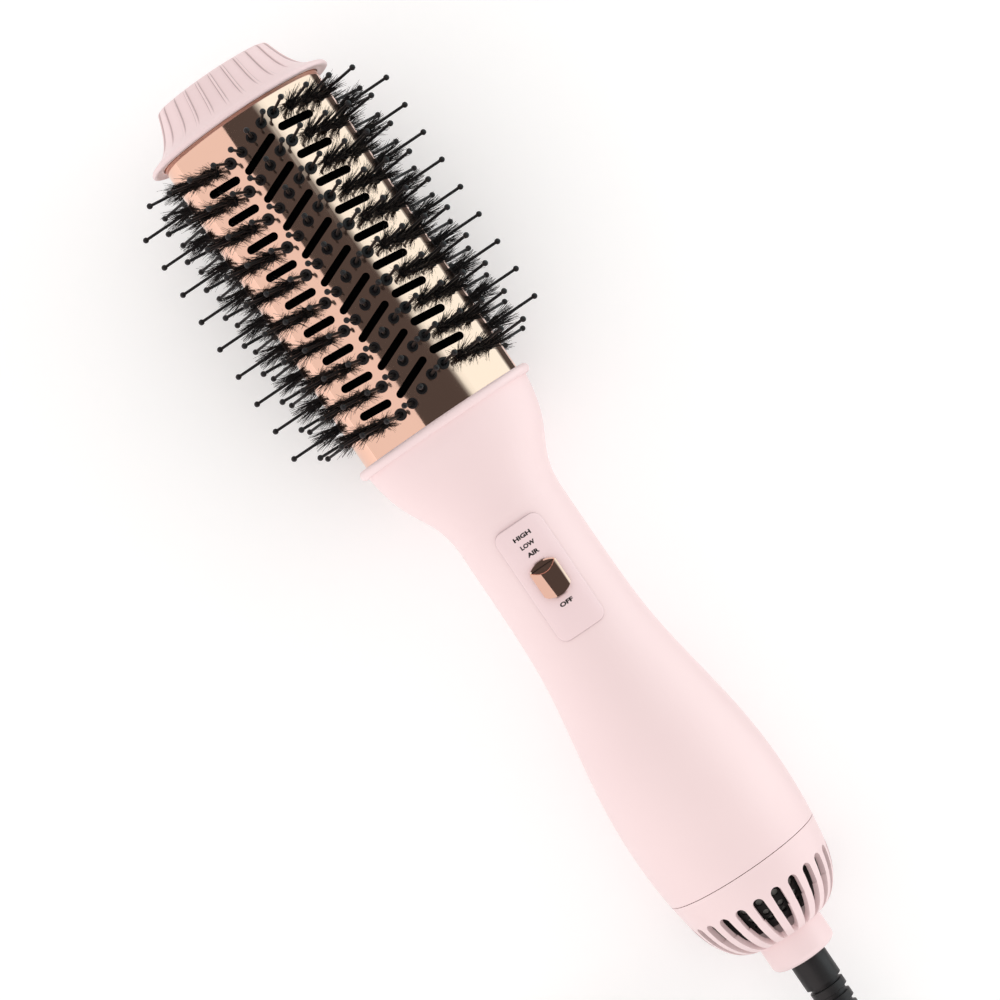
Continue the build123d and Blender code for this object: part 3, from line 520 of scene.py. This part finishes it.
FILAMENTS = 92  # in each tuft
FILAMENT_R = 0.12  # mm, at the foot
TAPER = 0.55  # the part of its radius that a filament loses towards its tip
TUFT_HEIGHT = 10.6
SEGMENTS = 4
FOOT_HEIGHT = 0.1
HOLE_R, FOOT_R = 0.62, 1.42  # the feet stand in the ring between these, round the pin
TRIM = (0.62, 1.0)  # shortest and longest, in shares of the tuft's height
SPREAD = (0.1, 3.7)  # how far a tip leans outwards, from a foot at the ring's outside
SIDEWAYS, CRIMP = 0.8, (0.05, 0.28)


def filament(mesh, place, dice):
    """One crimped spike, from inside the tuft's foot out to its own trimmed length."""
    around = dice.uniform(0, 2 * math.pi)
    foot = HOLE_R + (FOOT_R - HOLE_R) * math.sqrt(dice.random())
    length = TUFT_HEIGHT * dice.uniform(*TRIM)
    spread = dice.uniform(*SPREAD) * foot / FOOT_R
    tip_height = math.sqrt(length**2 - spread**2)
    side_way = dice.gauss(0, SIDEWAYS)
    crimp = dice.uniform(*CRIMP)
    phase = dice.uniform(0, 6.28)
    rings = []
    for step in range(SEGMENTS + 1):
        share = step / SEGMENTS
        out = foot + spread * share**1.3
        swing = side_way * share**1.5 + crimp * math.sin(phase + 9 * share)
        height = FOOT_HEIGHT + (tip_height - FOOT_HEIGHT) * share
        centre = Vector((
            out * math.cos(around) - swing * math.sin(around),
            out * math.sin(around) + swing * math.cos(around),
            height,
        ))
        radius = FILAMENT_R * (1 - TAPER * share)
        ring = []
        for corner in range(3):
            angle = around + 2 * math.pi * corner / 3
            offset = Vector((radius * math.cos(angle), radius * math.sin(angle), 0))
            ring.append(mesh.verts.new(BRUSH @ ((place @ (centre + offset)) * MM)))
        rings.append(ring)
    for below, above in zip(rings, rings[1:]):
        for corner in range(3):
            follow = (corner + 1) % 3
            mesh.faces.new((below[corner], below[follow], above[follow], above[corner]))
    mesh.faces.new(reversed(rings[0]))
    mesh.faces.new(rings[-1])


for side, seed in (("left", 11), ("right", 23)):
    dice = random.Random(seed)
    mesh = bmesh.new()
    for place in tufts[side]:
        for _ in range(FILAMENTS):
            filament(mesh, place, dice)
    data = bpy.data.meshes.new(f"bristle_{side}")
    mesh.to_mesh(data)
    mesh.free()
    data.materials.append(bristle_black)
    bristle = bpy.data.objects.new(f"bristle_{side}", data)
    bpy.context.scene.collection.objects.link(bristle)
    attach(bristle, "root")
    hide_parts(f"tufts_{side}")
    print(bristle.name, len(data.polygons), "faces")

# %% [markdown]
# The end cap is a flared, soft oval cup with fine grip ribs that die out where the flare turns into
# the rim. It could be an oval loft with ribs stuck on, but then each rib ends in a hard step. Here
# the cap is one skin: its outline is carried round the barrel's oval, and wherever a rib runs, the
# skin itself is pushed out, most in the middle of the rib and not at all at its ends. This cell says
# where round the oval the skin's columns of points stand.

# %% Ribs of the end cap


def carried(x, half_width, arc):
    """A point at arc round the barrel, drawn out or in to another half width."""
    return station(x, arc) @ Vector((0, 0, half_width - BARREL_HALF_WIDTH))


CAP_OUTLINE = [  # X, half width, and how high the ribs stand there
    (-134.70, 16.4, 0), (-134.70, 19.3, 0), (-134.62, 19.9, 0.1), (-134.35, 20.45, 0.4),
    (-133.9, 20.85, 0.8), (-133.2, 21.18, 1), (-132.0, 21.62, 1), (-130.5, 22.15, 1), (-129.0, 22.72, 1),
    (-127.5, 23.36, 1), (-126.2, 23.98, 1), (-125.0, 24.68, 1), (-124.0, 25.38, 0.9), (-123.0, 26.22, 0.7),
    (-122.2, 27.05, 0.45), (-121.5, 27.95, 0.2), (-120.9, 28.9, 0), (-120.3, 30.1, 0), (-119.7, 31.5, 0),
    (-119.25, 32.6, 0), (-118.95, 33.3, 0), (-118.6, 33.85, 0), (-118.15, 34.18, 0), (-117.6, 34.3, 0),
    (-117.15, 34.1, 0), (-116.9, 33.6, 0), (-116.95, 33.0, 0), (-117.25, 32.3, 0), (-117.3, 30.3, 0),
    (-118.6, 30.1, 0), (-118.6, 28.0, 0), (-124.0, 23.4, 0), (-132.6, 19.2, 0), (-132.6, 16.4, 0),
]
RIBS_EACH_FACE, RIB_HEIGHT = 11, 0.7
RIB_SHAPE = [  # distance from the rib's middle, height, and how much painted shade lies in the crease beside it
    (-0.9, 0, 0), (-0.68, 0, 1), (-0.48, 0.25, 0.8), (-0.36, 0.85, 0), (0, 1, 0), (0.36, 0.85, 0),
    (0.48, 0.25, 0.8), (0.68, 0, 1), (0.9, 0, 0),
]
GAPS = 4  # plain columns between two ribs
RIB_LINE_DROP = 7.1  # the ribs are evenly spaced along an oval this much smaller


def rib_arcs():
    """Where the ribs of one face stand, as arc lengths on the barrel itself."""
    flat, tight = FLAT_R - RIB_LINE_DROP, TIGHT_R - RIB_LINE_DROP
    quarter = flat * FLAT_TURN + tight * (math.pi / 2 - FLAT_TURN)
    arcs = []
    for index in range(RIBS_EACH_FACE):
        place = (index - RIBS_EACH_FACE // 2) * 2 * quarter / RIBS_EACH_FACE
        lean = min(abs(place) / flat, FLAT_TURN) + max(0, abs(place) - flat * FLAT_TURN) / tight
        arc = min(lean, FLAT_TURN) * FLAT_R + max(0, lean - FLAT_TURN) * TIGHT_R
        arcs.append(math.copysign(arc, place))
    return arcs


def cap_columns():
    """Arc, rib height and crease for each column of one face's skin, from one side to the other."""
    arcs = rib_arcs()
    edges = arcs[1:] + [2 * QUARTER_ARC + arcs[0]]
    for arc, following in zip(arcs, edges):
        yield from ((arc + offset, height, painted_crease_shade) for offset, height, painted_crease_shade in RIB_SHAPE)
        first, last = arc + RIB_SHAPE[-1][0], following + RIB_SHAPE[0][0]
        yield from ((first + (last - first) * (gap + 1) / (GAPS + 1), 0, 0) for gap in range(GAPS))


columns_of_face = list(cap_columns())
print("columns of points on each face of the cap", len(columns_of_face))

# %% [markdown]
# Each new piece ends in the same way: a mesh becomes an object at the origin, is shaded smooth but
# for its sharp edges, gets its finish, is hung on the body that carries it, and hides the plainer
# parts it stands for. Two small functions do this, so that no piece forgets a step, and a third one
# joins loops of points into a closed skin.

# %% Making a piece


def skin(name, loops):
    """A closed piece from loops of points, one quad strip between each pair of loops."""
    mesh = bmesh.new()
    rings = [[mesh.verts.new(BRUSH @ (Vector(point) * MM)) for point in loop] for loop in loops]
    for below, above in zip(rings, rings[1:]):
        for index in range(len(below)):
            after = (index + 1) % len(below)
            mesh.faces.new((below[index], below[after], above[after], above[index]))
    mesh.faces.new(reversed(rings[0]))
    mesh.faces.new(rings[-1])
    bmesh.ops.recalc_face_normals(mesh, faces=mesh.faces)
    return add_piece(name, mesh)


def add_piece(name, mesh, sharp=35):
    """Turns a finished bmesh into an object at the origin, smooth but for its sharp edges."""
    data = bpy.data.meshes.new(name)
    mesh.to_mesh(data)
    mesh.free()
    data.shade_smooth()
    data.set_sharp_from_angle(angle=math.radians(sharp))
    piece = bpy.data.objects.new(name, data)
    bpy.context.scene.collection.objects.link(piece)
    print(name, len(data.polygons), "faces")
    return piece


def finish_piece(piece, material, body, slot, *stands_for):
    """Gives a piece its finish and the body it rides on, and hides the nodes it stands for."""
    piece.data.materials.append(material)
    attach(piece, body)
    if stands_for:
        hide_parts(*stands_for)


# %% [markdown]
# Now the cap itself: the outline has one loop of points at each of its steps, and the skin joins the
# loops. The back face is the front face turned half a turn. Beside each rib the skin carries the
# crease number that its paint reads, for the shade painted into the crease.

# %% End cap

cap_loops = []
for x, half_width, rib in CAP_OUTLINE:
    loop = []
    for turn in (Matrix.Identity(4), HALF_TURN):
        for arc, height, _ in columns_of_face:
            raised = half_width + RIB_HEIGHT * rib * height
            if arc <= QUARTER_ARC:
                point = carried(x, raised, arc)
            else:
                point = HALF_TURN @ carried(x, raised, arc - 2 * QUARTER_ARC)
            loop.append(turn @ point)
    cap_loops.append(loop)
cap = skin("ribbed_end_cap", cap_loops)
# Painted shade: this number darkens the paint in the crease beside each rib.
crease_shading = cap.data.attributes.new("painted_crease_shade", "FLOAT", "POINT")
for index in range(len(cap.data.vertices)):
    loop, column = divmod(index, 2 * len(columns_of_face))
    rib = CAP_OUTLINE[loop][2]
    crease_shading.data[index].value = rib * columns_of_face[column % len(columns_of_face)][2]
finish_piece(cap, pink_ribbed, "root", "pink_shell", "end_cap")

# %% [markdown]
# The switch plate and its words lie on a round handle, yet both are easiest to draw flat. So flat
# shapes are drawn with curves, made a mesh, cut into narrow strips along the brush so that they can
# bend, and rolled round its axis. A Simple Deform modifier could bend them too, but its angle belongs
# to each shape's own width, and here all shapes have to fit one round.

# %% Rolling flat shapes

SAME_PLACE = 0.002  # points closer than this, in mm, are one


def rounded_outline(x0, x1, half, corner, steps=6):
    """The corners of a rounded rectangle, anticlockwise."""
    points = []
    centres = [
        (x1 - corner, half - corner, 0), (x0 + corner, half - corner, 90),
        (x0 + corner, corner - half, 180), (x1 - corner, corner - half, 270),
    ]
    for centre_x, centre_y, start in centres:
        for step in range(steps + 1):
            angle = math.radians(start + 90 * step / steps)
            points.append((centre_x + corner * math.cos(angle), centre_y + corner * math.sin(angle)))
    return points


def rolled(mesh, radius, spacing):
    """Cuts a flat bmesh in mm into strips along X, and rolls it round the brush's axis."""
    ys = [vert.co.y for vert in mesh.verts]
    cut = math.ceil(min(ys) / spacing) * spacing
    while cut < max(ys):
        everything = mesh.verts[:] + mesh.edges[:] + mesh.faces[:]
        bmesh.ops.bisect_plane(mesh, geom=everything, plane_co=(0, cut, 0), plane_no=(0, 1, 0))
        cut += spacing
    for vert in mesh.verts:
        x, y, z = vert.co
        lean, reach = y / radius, radius + z
        vert.co = BRUSH @ (Vector((x, reach * math.sin(lean), reach * math.cos(lean))) * MM)


def curve_mesh(data):
    """A bmesh of a curve or text, with its doubles merged; the curve is removed."""
    holder = bpy.data.objects.new("flat_shape", data)
    bpy.context.scene.collection.objects.link(holder)
    seen = holder.evaluated_get(bpy.context.evaluated_depsgraph_get())
    made = bpy.data.meshes.new_from_object(seen)
    mesh = bmesh.new()
    mesh.from_mesh(made)
    bmesh.ops.remove_doubles(mesh, verts=mesh.verts, dist=SAME_PLACE)
    bpy.data.objects.remove(holder)
    bpy.data.meshes.remove(made)
    return mesh


# %% [markdown]
# The switch plate is a slim pad that stands a little proud of the handle, with soft edges and a slot
# for the knob's stem. A flat curve is the shortest way to a plate with a hole: two closed outlines
# fill themselves, extrude gives the thickness and the curve's bevel rounds every edge. The lower part
# of its edge carries the crease number, for a shade painted where it meets the handle.

# %% Switch plate

PLATE_MIDDLE, PLATE_LENGTH, PLATE_WIDTH, PLATE_CORNER = 62.5, 41.4, 18.7, 3.6
PLATE_TOP_R = 21.3
PLATE_THICK, PLATE_EDGE = 2.6, 0.85
PAINTED_SHADE_FROM = 0.4  # how far down its rounded edge the painted shade starts, as a share of that edge
SLOT_START, SLOT_END, SLOT_HALF_WIDTH, SLOT_CORNER = 56.6, 69.1, 1.7, 0.4
PLATE_STRIP = 1.0  # width of the strips that bend to the handle

plate_curve = bpy.data.curves.new("plate_outline", "CURVE")
plate_curve.dimensions = "2D"
plate_curve.fill_mode = "BOTH"
plate_curve.extrude = PLATE_THICK / 2 - PLATE_EDGE
plate_curve.bevel_depth = PLATE_EDGE
plate_curve.bevel_resolution = 4
plate_curve.offset = -PLATE_EDGE
plate_ends = PLATE_MIDDLE - PLATE_LENGTH / 2, PLATE_MIDDLE + PLATE_LENGTH / 2
for outline in (
    rounded_outline(*plate_ends, PLATE_WIDTH / 2, PLATE_CORNER),
    rounded_outline(SLOT_START, SLOT_END, SLOT_HALF_WIDTH, SLOT_CORNER, 2),
):
    spline = plate_curve.splines.new("POLY")
    spline.points.add(len(outline) - 1)
    for point, place in zip(spline.points, outline):
        point.co = (*place, 0, 1)
    spline.use_cyclic_u = True
plate_shape = curve_mesh(plate_curve)
bmesh.ops.translate(plate_shape, vec=(0, 0, -PLATE_THICK / 2), verts=plate_shape.verts)
# The lower edge gets painted shade, a dark line where the plate meets the handle.
painted_crease_shade = plate_shape.verts.layers.float.new("painted_crease_shade")
for vert in plate_shape.verts:
    vert[painted_crease_shade] = 1.0 if vert.co.z < -PAINTED_SHADE_FROM * PLATE_EDGE else 0.0
rolled(plate_shape, PLATE_TOP_R, PLATE_STRIP)
plate = add_piece("soft_edged_plate", plate_shape)
finish_piece(plate, pink_plate, "root", "pink_plate", "switch_plate")

# %% [markdown]
# The words beside the switch name its settings. They are printed in black, about one and a half
# millimetres tall, with their tops towards the barrel. Text is a curve in Blender too, so it is made
# a mesh, sized by its own measured box and rolled onto the plate like the plate itself.

# %% Setting words

LETTER_HEIGHT = 1.5
BOLDER = 0.045  # how much each stroke is fattened, in shares of the type's size
PRINT_RAISED, PRINT_SUNK = 0.02, -0.05
WORD_STRIP = 0.8
WORDS = [("HIGH", 46.6, 6.4), ("LOW", 49.9, 5.2), ("AIR", 53.0, 4.3), ("OFF", 72.1, 4.8)]  # X, length


def word(text, x, length):
    """A word as a bmesh, lying across the brush at x."""
    letters = bpy.data.curves.new("word", "FONT")
    letters.body = text
    letters.align_x = "CENTER"
    letters.offset = BOLDER
    letters.extrude = 0.02  # only tells top from bottom, which are placed below
    letters.resolution_u = 3
    mesh = curve_mesh(letters)
    lows = [min(vert.co[axis] for vert in mesh.verts) for axis in (0, 1)]
    highs = [max(vert.co[axis] for vert in mesh.verts) for axis in (0, 1)]
    grow_along, grow_up = length / (highs[0] - lows[0]), LETTER_HEIGHT / (highs[1] - lows[1])
    middle = [(low + high) / 2 for low, high in zip(lows, highs)]
    for vert in mesh.verts:
        across, up_page, raised = vert.co
        vert.co = (x - (up_page - middle[1]) * grow_up, (across - middle[0]) * grow_along,
                   PRINT_RAISED if raised > 0 else PRINT_SUNK)
    rolled(mesh, PLATE_TOP_R, WORD_STRIP)
    return mesh


printed = bmesh.new()
for text, x, length in WORDS:
    letters = word(text, x, length)
    one_word = bpy.data.meshes.new("one_word")
    letters.to_mesh(one_word)
    letters.free()
    printed.from_mesh(one_word)
    bpy.data.meshes.remove(one_word)
bmesh.ops.recalc_face_normals(printed, faces=printed.faces)
words = add_piece("setting_words", printed)
finish_piece(words, black_plastic, "root", "black_plastic")

# %% [markdown]
# The knob is a small block with the look of metal, domed across, bowed at both ends, and cut at its
# front by a slanted facet for the thumb. It could be carved from a box by many cuts, but slices are
# simpler: at each distance from the middle line the knob is a plain four-cornered slice, and a row
# of slices joined by faces gives the dome, the bows and an underside that follows the plate. One cut
# makes the facet. Its edges are then rounded so that they catch the light, and the facet is sunk.

# %% Knob

KNOB_START, KNOB_END, KNOB_HALF_WIDTH = 56.4, 69.2, 5.0
KNOB_TOP, KNOB_GAP, KNOB_R = 23.7, 0.2, 11.5  # the gap lets the knob pass over the printed words
KNOB_BOW, KNOB_CORNER, KNOB_SLICES = 1.7, 0.5, 28
FACET_LENGTH, FACET_FALL = 4.1, math.radians(24)
FACET_RIM, FACET_SUNK = 0.32, 0.3
HARD_ANGLE, KNOB_EDGE = math.radians(14), 0.22  # edges sharper than the first are rounded by the second
KNOB_SHARP = 24  # degrees, from where an edge stays hard in the shading
FACING = 0.999  # how nearly a face has to look the facet's way to be part of it


def knob_slice(block, y):
    """The knob's four corners at one distance from its middle line."""
    share = (y / KNOB_HALF_WIDTH) ** 2
    bow = KNOB_BOW * share + KNOB_CORNER * share**6
    dome = KNOB_TOP - KNOB_R + math.sqrt(KNOB_R**2 - y * y)
    foot = math.sqrt((PLATE_TOP_R + KNOB_GAP) ** 2 - y * y)
    start, end = KNOB_START + bow, KNOB_END - bow
    corners = (start, foot), (end, foot), (end, dome), (start, dome)
    return [block.verts.new((x, y, z)) for x, z in corners]


block = bmesh.new()
turns = [math.pi * (step / KNOB_SLICES - 0.5) for step in range(KNOB_SLICES + 1)]
slices = [knob_slice(block, KNOB_HALF_WIDTH * math.sin(turn)) for turn in turns]
block.faces.new(slices[0])
block.faces.new(reversed(slices[-1]))
for here, there in zip(slices, slices[1:]):
    for corner in range(4):
        after = (corner + 1) % 4
        block.faces.new((here[corner], there[corner], there[after], here[after]))
facet_out = Vector((-math.sin(FACET_FALL), 0, math.cos(FACET_FALL)))
facet_end = Vector((KNOB_START + FACET_LENGTH, 0, KNOB_TOP))
everything = block.verts[:] + block.edges[:] + block.faces[:]
cut = bmesh.ops.bisect_plane(block, geom=everything, plane_co=facet_end, plane_no=facet_out,
                             clear_outer=True, dist=0.0001)
cut_edges = [item for item in cut["geom_cut"] if isinstance(item, bmesh.types.BMEdge)]
bmesh.ops.contextual_create(block, geom=cut_edges)
bmesh.ops.remove_doubles(block, verts=block.verts, dist=0.001)
bmesh.ops.recalc_face_normals(block, faces=block.faces)
hard = [edge for edge in block.edges if edge.calc_face_angle(0) > HARD_ANGLE]
bmesh.ops.bevel(block, geom=hard, offset=KNOB_EDGE, offset_type="OFFSET", segments=3, profile=0.5,
                affect="EDGES", clamp_overlap=True)
facing = [face for face in block.faces if face.normal.dot(facet_out) > FACING]
facet = max(facing, key=lambda face: face.calc_area())
bmesh.ops.inset_region(block, faces=[facet], thickness=FACET_RIM, depth=-FACET_SUNK)
for vert in block.verts:
    vert.co = BRUSH @ (vert.co * MM)
knob = add_piece("thumb_knob", block, KNOB_SHARP)
finish_piece(knob, rose_gold_knob, "switch", "rose_gold_knob", "switch_knob")

# %% [markdown]
# Under the plate the knob is a moulded slide: a stem through the slot, and a flat skirt that is long
# enough to keep the slot closed wherever the knob stands. Both are plain boxes, so one function makes
# a piece from any number of boxes.

# %% Slide under the knob

STEM = (66.5, 68.8, -1.4, 1.4, 16.8, 22.0)  # x0, x1, y0, y1, z0, z1
SKIRT = (56.6, 78.7, -3.0, 3.0, 16.75, 17.35)


def add_boxes(name, *boxes):
    """A piece made of boxes, each given as x0, x1, y0, y1, z0, z1 in the brush's own mm."""
    mesh = bmesh.new()
    for x0, x1, y0, y1, z0, z1 in boxes:
        made = bmesh.ops.create_cube(mesh, size=1)["verts"]
        bmesh.ops.scale(mesh, vec=(x1 - x0, y1 - y0, z1 - z0), verts=made)
        bmesh.ops.translate(mesh, vec=((x0 + x1) / 2, (y0 + y1) / 2, (z0 + z1) / 2), verts=made)
    for vert in mesh.verts:
        vert.co = BRUSH @ (vert.co * MM)
    return add_piece(name, mesh)


knob_slide = add_boxes("knob_slide", STEM, SKIRT)
finish_piece(knob_slide, black_plastic, "switch", "black_plastic")

# %% [markdown]
# A barrel with slots on both faces could be seen straight through, past either side of the heater's
# mica sleeve. The slots should look black, so two thin mica baffles close those gaps. How the real
# barrel is closed there can't be seen from outside, and flat strips are the plainest guess.

# %% Baffles beside the heater

BAFFLE_START, BAFFLE_END = -112, 3
BAFFLE_INSIDE, BAFFLE_OUTSIDE, BAFFLE_HALF_THICK = 14.8, 24.5, 0.25

both_sides = (BAFFLE_INSIDE, BAFFLE_OUTSIDE), (-BAFFLE_OUTSIDE, -BAFFLE_INSIDE)
baffles = add_boxes("heater_baffles", *(
    (BAFFLE_START, BAFFLE_END, *reach, -BAFFLE_HALF_THICK, BAFFLE_HALF_THICK) for reach in both_sides
))
finish_piece(baffles, mica, "root", "mica")

# %% [markdown]
# Behind the intake slots sits a dark perforated cup, and a fine metal gauze behind its holes keeps
# hair out of the fan. The gauze is a turned shape, so it is one profile, a Screw modifier and a
# Solidify for its thickness; the stack is applied before the gauze is laid down with the brush.

# %% Intake gauze

GAUZE = [  # X and radius
    (195.9, 13.3), (194.4, 16.2), (192.6, 18.2), (190.0, 20.1), (187.1, 21.45), (183.5, 22.3),
    (180.5, 22.8),
]
GAUZE_THICK, GAUZE_STEPS = 0.15, 64
gauze_line = bpy.data.meshes.new("intake_gauze")
gauze_edges = [(index, index + 1) for index in range(len(GAUZE) - 1)]
gauze_line.from_pydata([(radius * MM, 0, x * MM) for x, radius in GAUZE], gauze_edges, [])
gauze = bpy.data.objects.new("intake_gauze", gauze_line)
bpy.context.scene.collection.objects.link(gauze)
turning = gauze.modifiers.new("turned", "SCREW")
turning.steps = turning.render_steps = GAUZE_STEPS
turning.use_merge_vertices = True
turning.merge_threshold = 0.01 * MM
wall = gauze.modifiers.new("wall", "SOLIDIFY")
wall.thickness = GAUZE_THICK * MM
turned = gauze.evaluated_get(bpy.context.evaluated_depsgraph_get())
turned_mesh = bpy.data.meshes.new_from_object(turned)
gauze.modifiers.clear()
gauze.data = turned_mesh
upright_to_brush = Matrix.Rotation(math.pi / 2, 4, "Y")
turned_mesh.transform(upright_to_brush)
lay_down(turned_mesh)
turned_mesh.shade_smooth()
finish_piece(gauze, gauze_grey, "root", "steel")
print("intake gauze", len(turned_mesh.polygons), "faces")

# %% [markdown]
# The table is a sheet of pale paper under the brush. A slight glow of its own lifts it to near white,
# which a stronger light would do as well, but then the brush would be brighter too.

# %% Floor

FLOOR_REACH = 3.0  # metres each way
FLOOR_GLOW = 0.14

floor_mesh = bpy.data.meshes.new("floor")
floor_corners = [(FLOOR_REACH * x, FLOOR_REACH * y, 0) for x, y in ((-1, -1), (1, -1), (1, 1), (-1, 1))]
floor_mesh.from_pydata(floor_corners, [], [(0, 1, 2, 3)])
floor = bpy.data.objects.new("floor", floor_mesh)
bpy.context.scene.collection.objects.link(floor)
pale = Finish("floor_paper", (0.93, 0.93, 0.93), 0.7, specular_ior_level=0.1,
              emission_strength=FLOOR_GLOW)
pale.put("Emission Color", (1.0, 0.99, 0.985, 1.0))
floor_mesh.materials.append(pale.material)
print("floor", 2 * FLOOR_REACH, "m wide")

# %% [markdown]
# The light is a soft studio: a bright sky all round and a wide window on each side, so that the
# handle is brighter along both edges than on its back. The windows don't show in reflections, where
# they could draw hard white stripes.

# %% Light

SKY_GLOW = 0.94
WINDOW_SIZE, WINDOW_ENERGY = (1.5, 0.8), 4.1

world = bpy.data.worlds.new("studio")
world.use_nodes = True
sky = world.node_tree.nodes["Background"].inputs
sky["Color"].default_value = (1.0, 0.985, 0.975, 1)
sky["Strength"].default_value = SKY_GLOW
bpy.context.scene.world = world
bpy.context.scene.view_settings.view_transform = "Standard"


def window_light(name, place, aim):
    """A wide window at a place, turned towards what it lights."""
    lamp = bpy.data.lights.new(name, "AREA")
    lamp.shape = "RECTANGLE"
    lamp.size, lamp.size_y = WINDOW_SIZE
    lamp.energy = WINDOW_ENERGY
    lamp.color = (1, 0.99, 0.99)
    holder = bpy.data.objects.new(name, lamp)
    bpy.context.scene.collection.objects.link(holder)
    look = (Vector(aim) - Vector(place)).to_track_quat("-Z", "Y").to_matrix().to_4x4()
    holder.matrix_world = Matrix.Translation(place) @ look
    holder.visible_glossy = False


for side in (1, -1):
    window_light(f"window_{side}", (0.45, side * 1.3, 0.42), (0.1, 0, 0.03))
print("sky and two windows")

# %% [markdown]
# Polished metal shows what stands round it, so it needs something to show. One folded card hangs
# over the brush where only reflections see it: a dark strip right above, which draws the brown band
# along the barrel, and past its slanted edge a bright, slightly cool sheet, which makes the cream
# side. The sheet comes back low over the floor, for the barrel's flank, and ends in a dark strip
# beside the brush. Its glow is a colour attribute on its corners, so one shade runs softly into the
# next.

# %% Reflecting card

DARK, CREAM = (0.088, 0.086, 0.085), (1.13, 1.5, 1.54)
CARD_X = (-900, -330, 300, 900)
OVERHEAD, FAR_EDGE, LOW = 600, 560, -24  # heights of the card's roof, far edge and low part
CARD_ROWS = [  # Y at the cap's end, Y at the cord's end, height, how far the glow is from dark to cream
    (-185, -185, OVERHEAD, 0.0),
    (55, 725, OVERHEAD, 0.0),
    (94, 764, OVERHEAD, 0.25),
    (150, 830, OVERHEAD, 0.85),
    (230, 910, OVERHEAD, 1.0),
    (1500, 1500, FAR_EDGE, 1.0),
    (1650, 1650, LOW, 1.0),
    (110, 110, LOW, 1.0),
    (80, 80, LOW, 0.0),
    (45, 45, LOW, 0.0),
]
card_mesh = bpy.data.meshes.new("reflecting_card")
corners = []
for cap_y, cord_y, height, _ in CARD_ROWS:
    corners += [Vector((x, y, height)) * MM for x, y in zip(CARD_X, (cap_y, cap_y, cord_y, cord_y))]
columns = len(CARD_X)
quads = []
for row in range(len(CARD_ROWS) - 1):
    for first in range(row * columns, row * columns + columns - 1):
        quads.append((first, first + 1, first + columns + 1, first + columns))
card_mesh.from_pydata(corners, [], quads)
lay_down(card_mesh)
glow = card_mesh.attributes.new("glow", "FLOAT_COLOR", "POINT")
for index in range(len(corners)):
    share = CARD_ROWS[index // columns][-1]
    glow.data[index].color = (*[d + (c - d) * share for d, c in zip(DARK, CREAM)], 1)
card_paper = bpy.data.materials.new("reflecting_card")
card_paper.use_nodes = True
card_nodes = card_paper.node_tree.nodes
shine = card_nodes.new("ShaderNodeEmission")
read = card_nodes.new("ShaderNodeAttribute")
read.attribute_name = "glow"
card_paper.node_tree.links.new(read.outputs["Color"], shine.inputs["Color"])
card_paper.node_tree.links.new(shine.outputs[0], card_nodes["Material Output"].inputs["Surface"])
card_mesh.materials.append(card_paper)
card = bpy.data.objects.new("reflecting_card", card_mesh)
bpy.context.scene.collection.objects.link(card)
card.visible_camera = card.visible_diffuse = card.visible_shadow = False
print("reflecting card", len(quads), "panels")
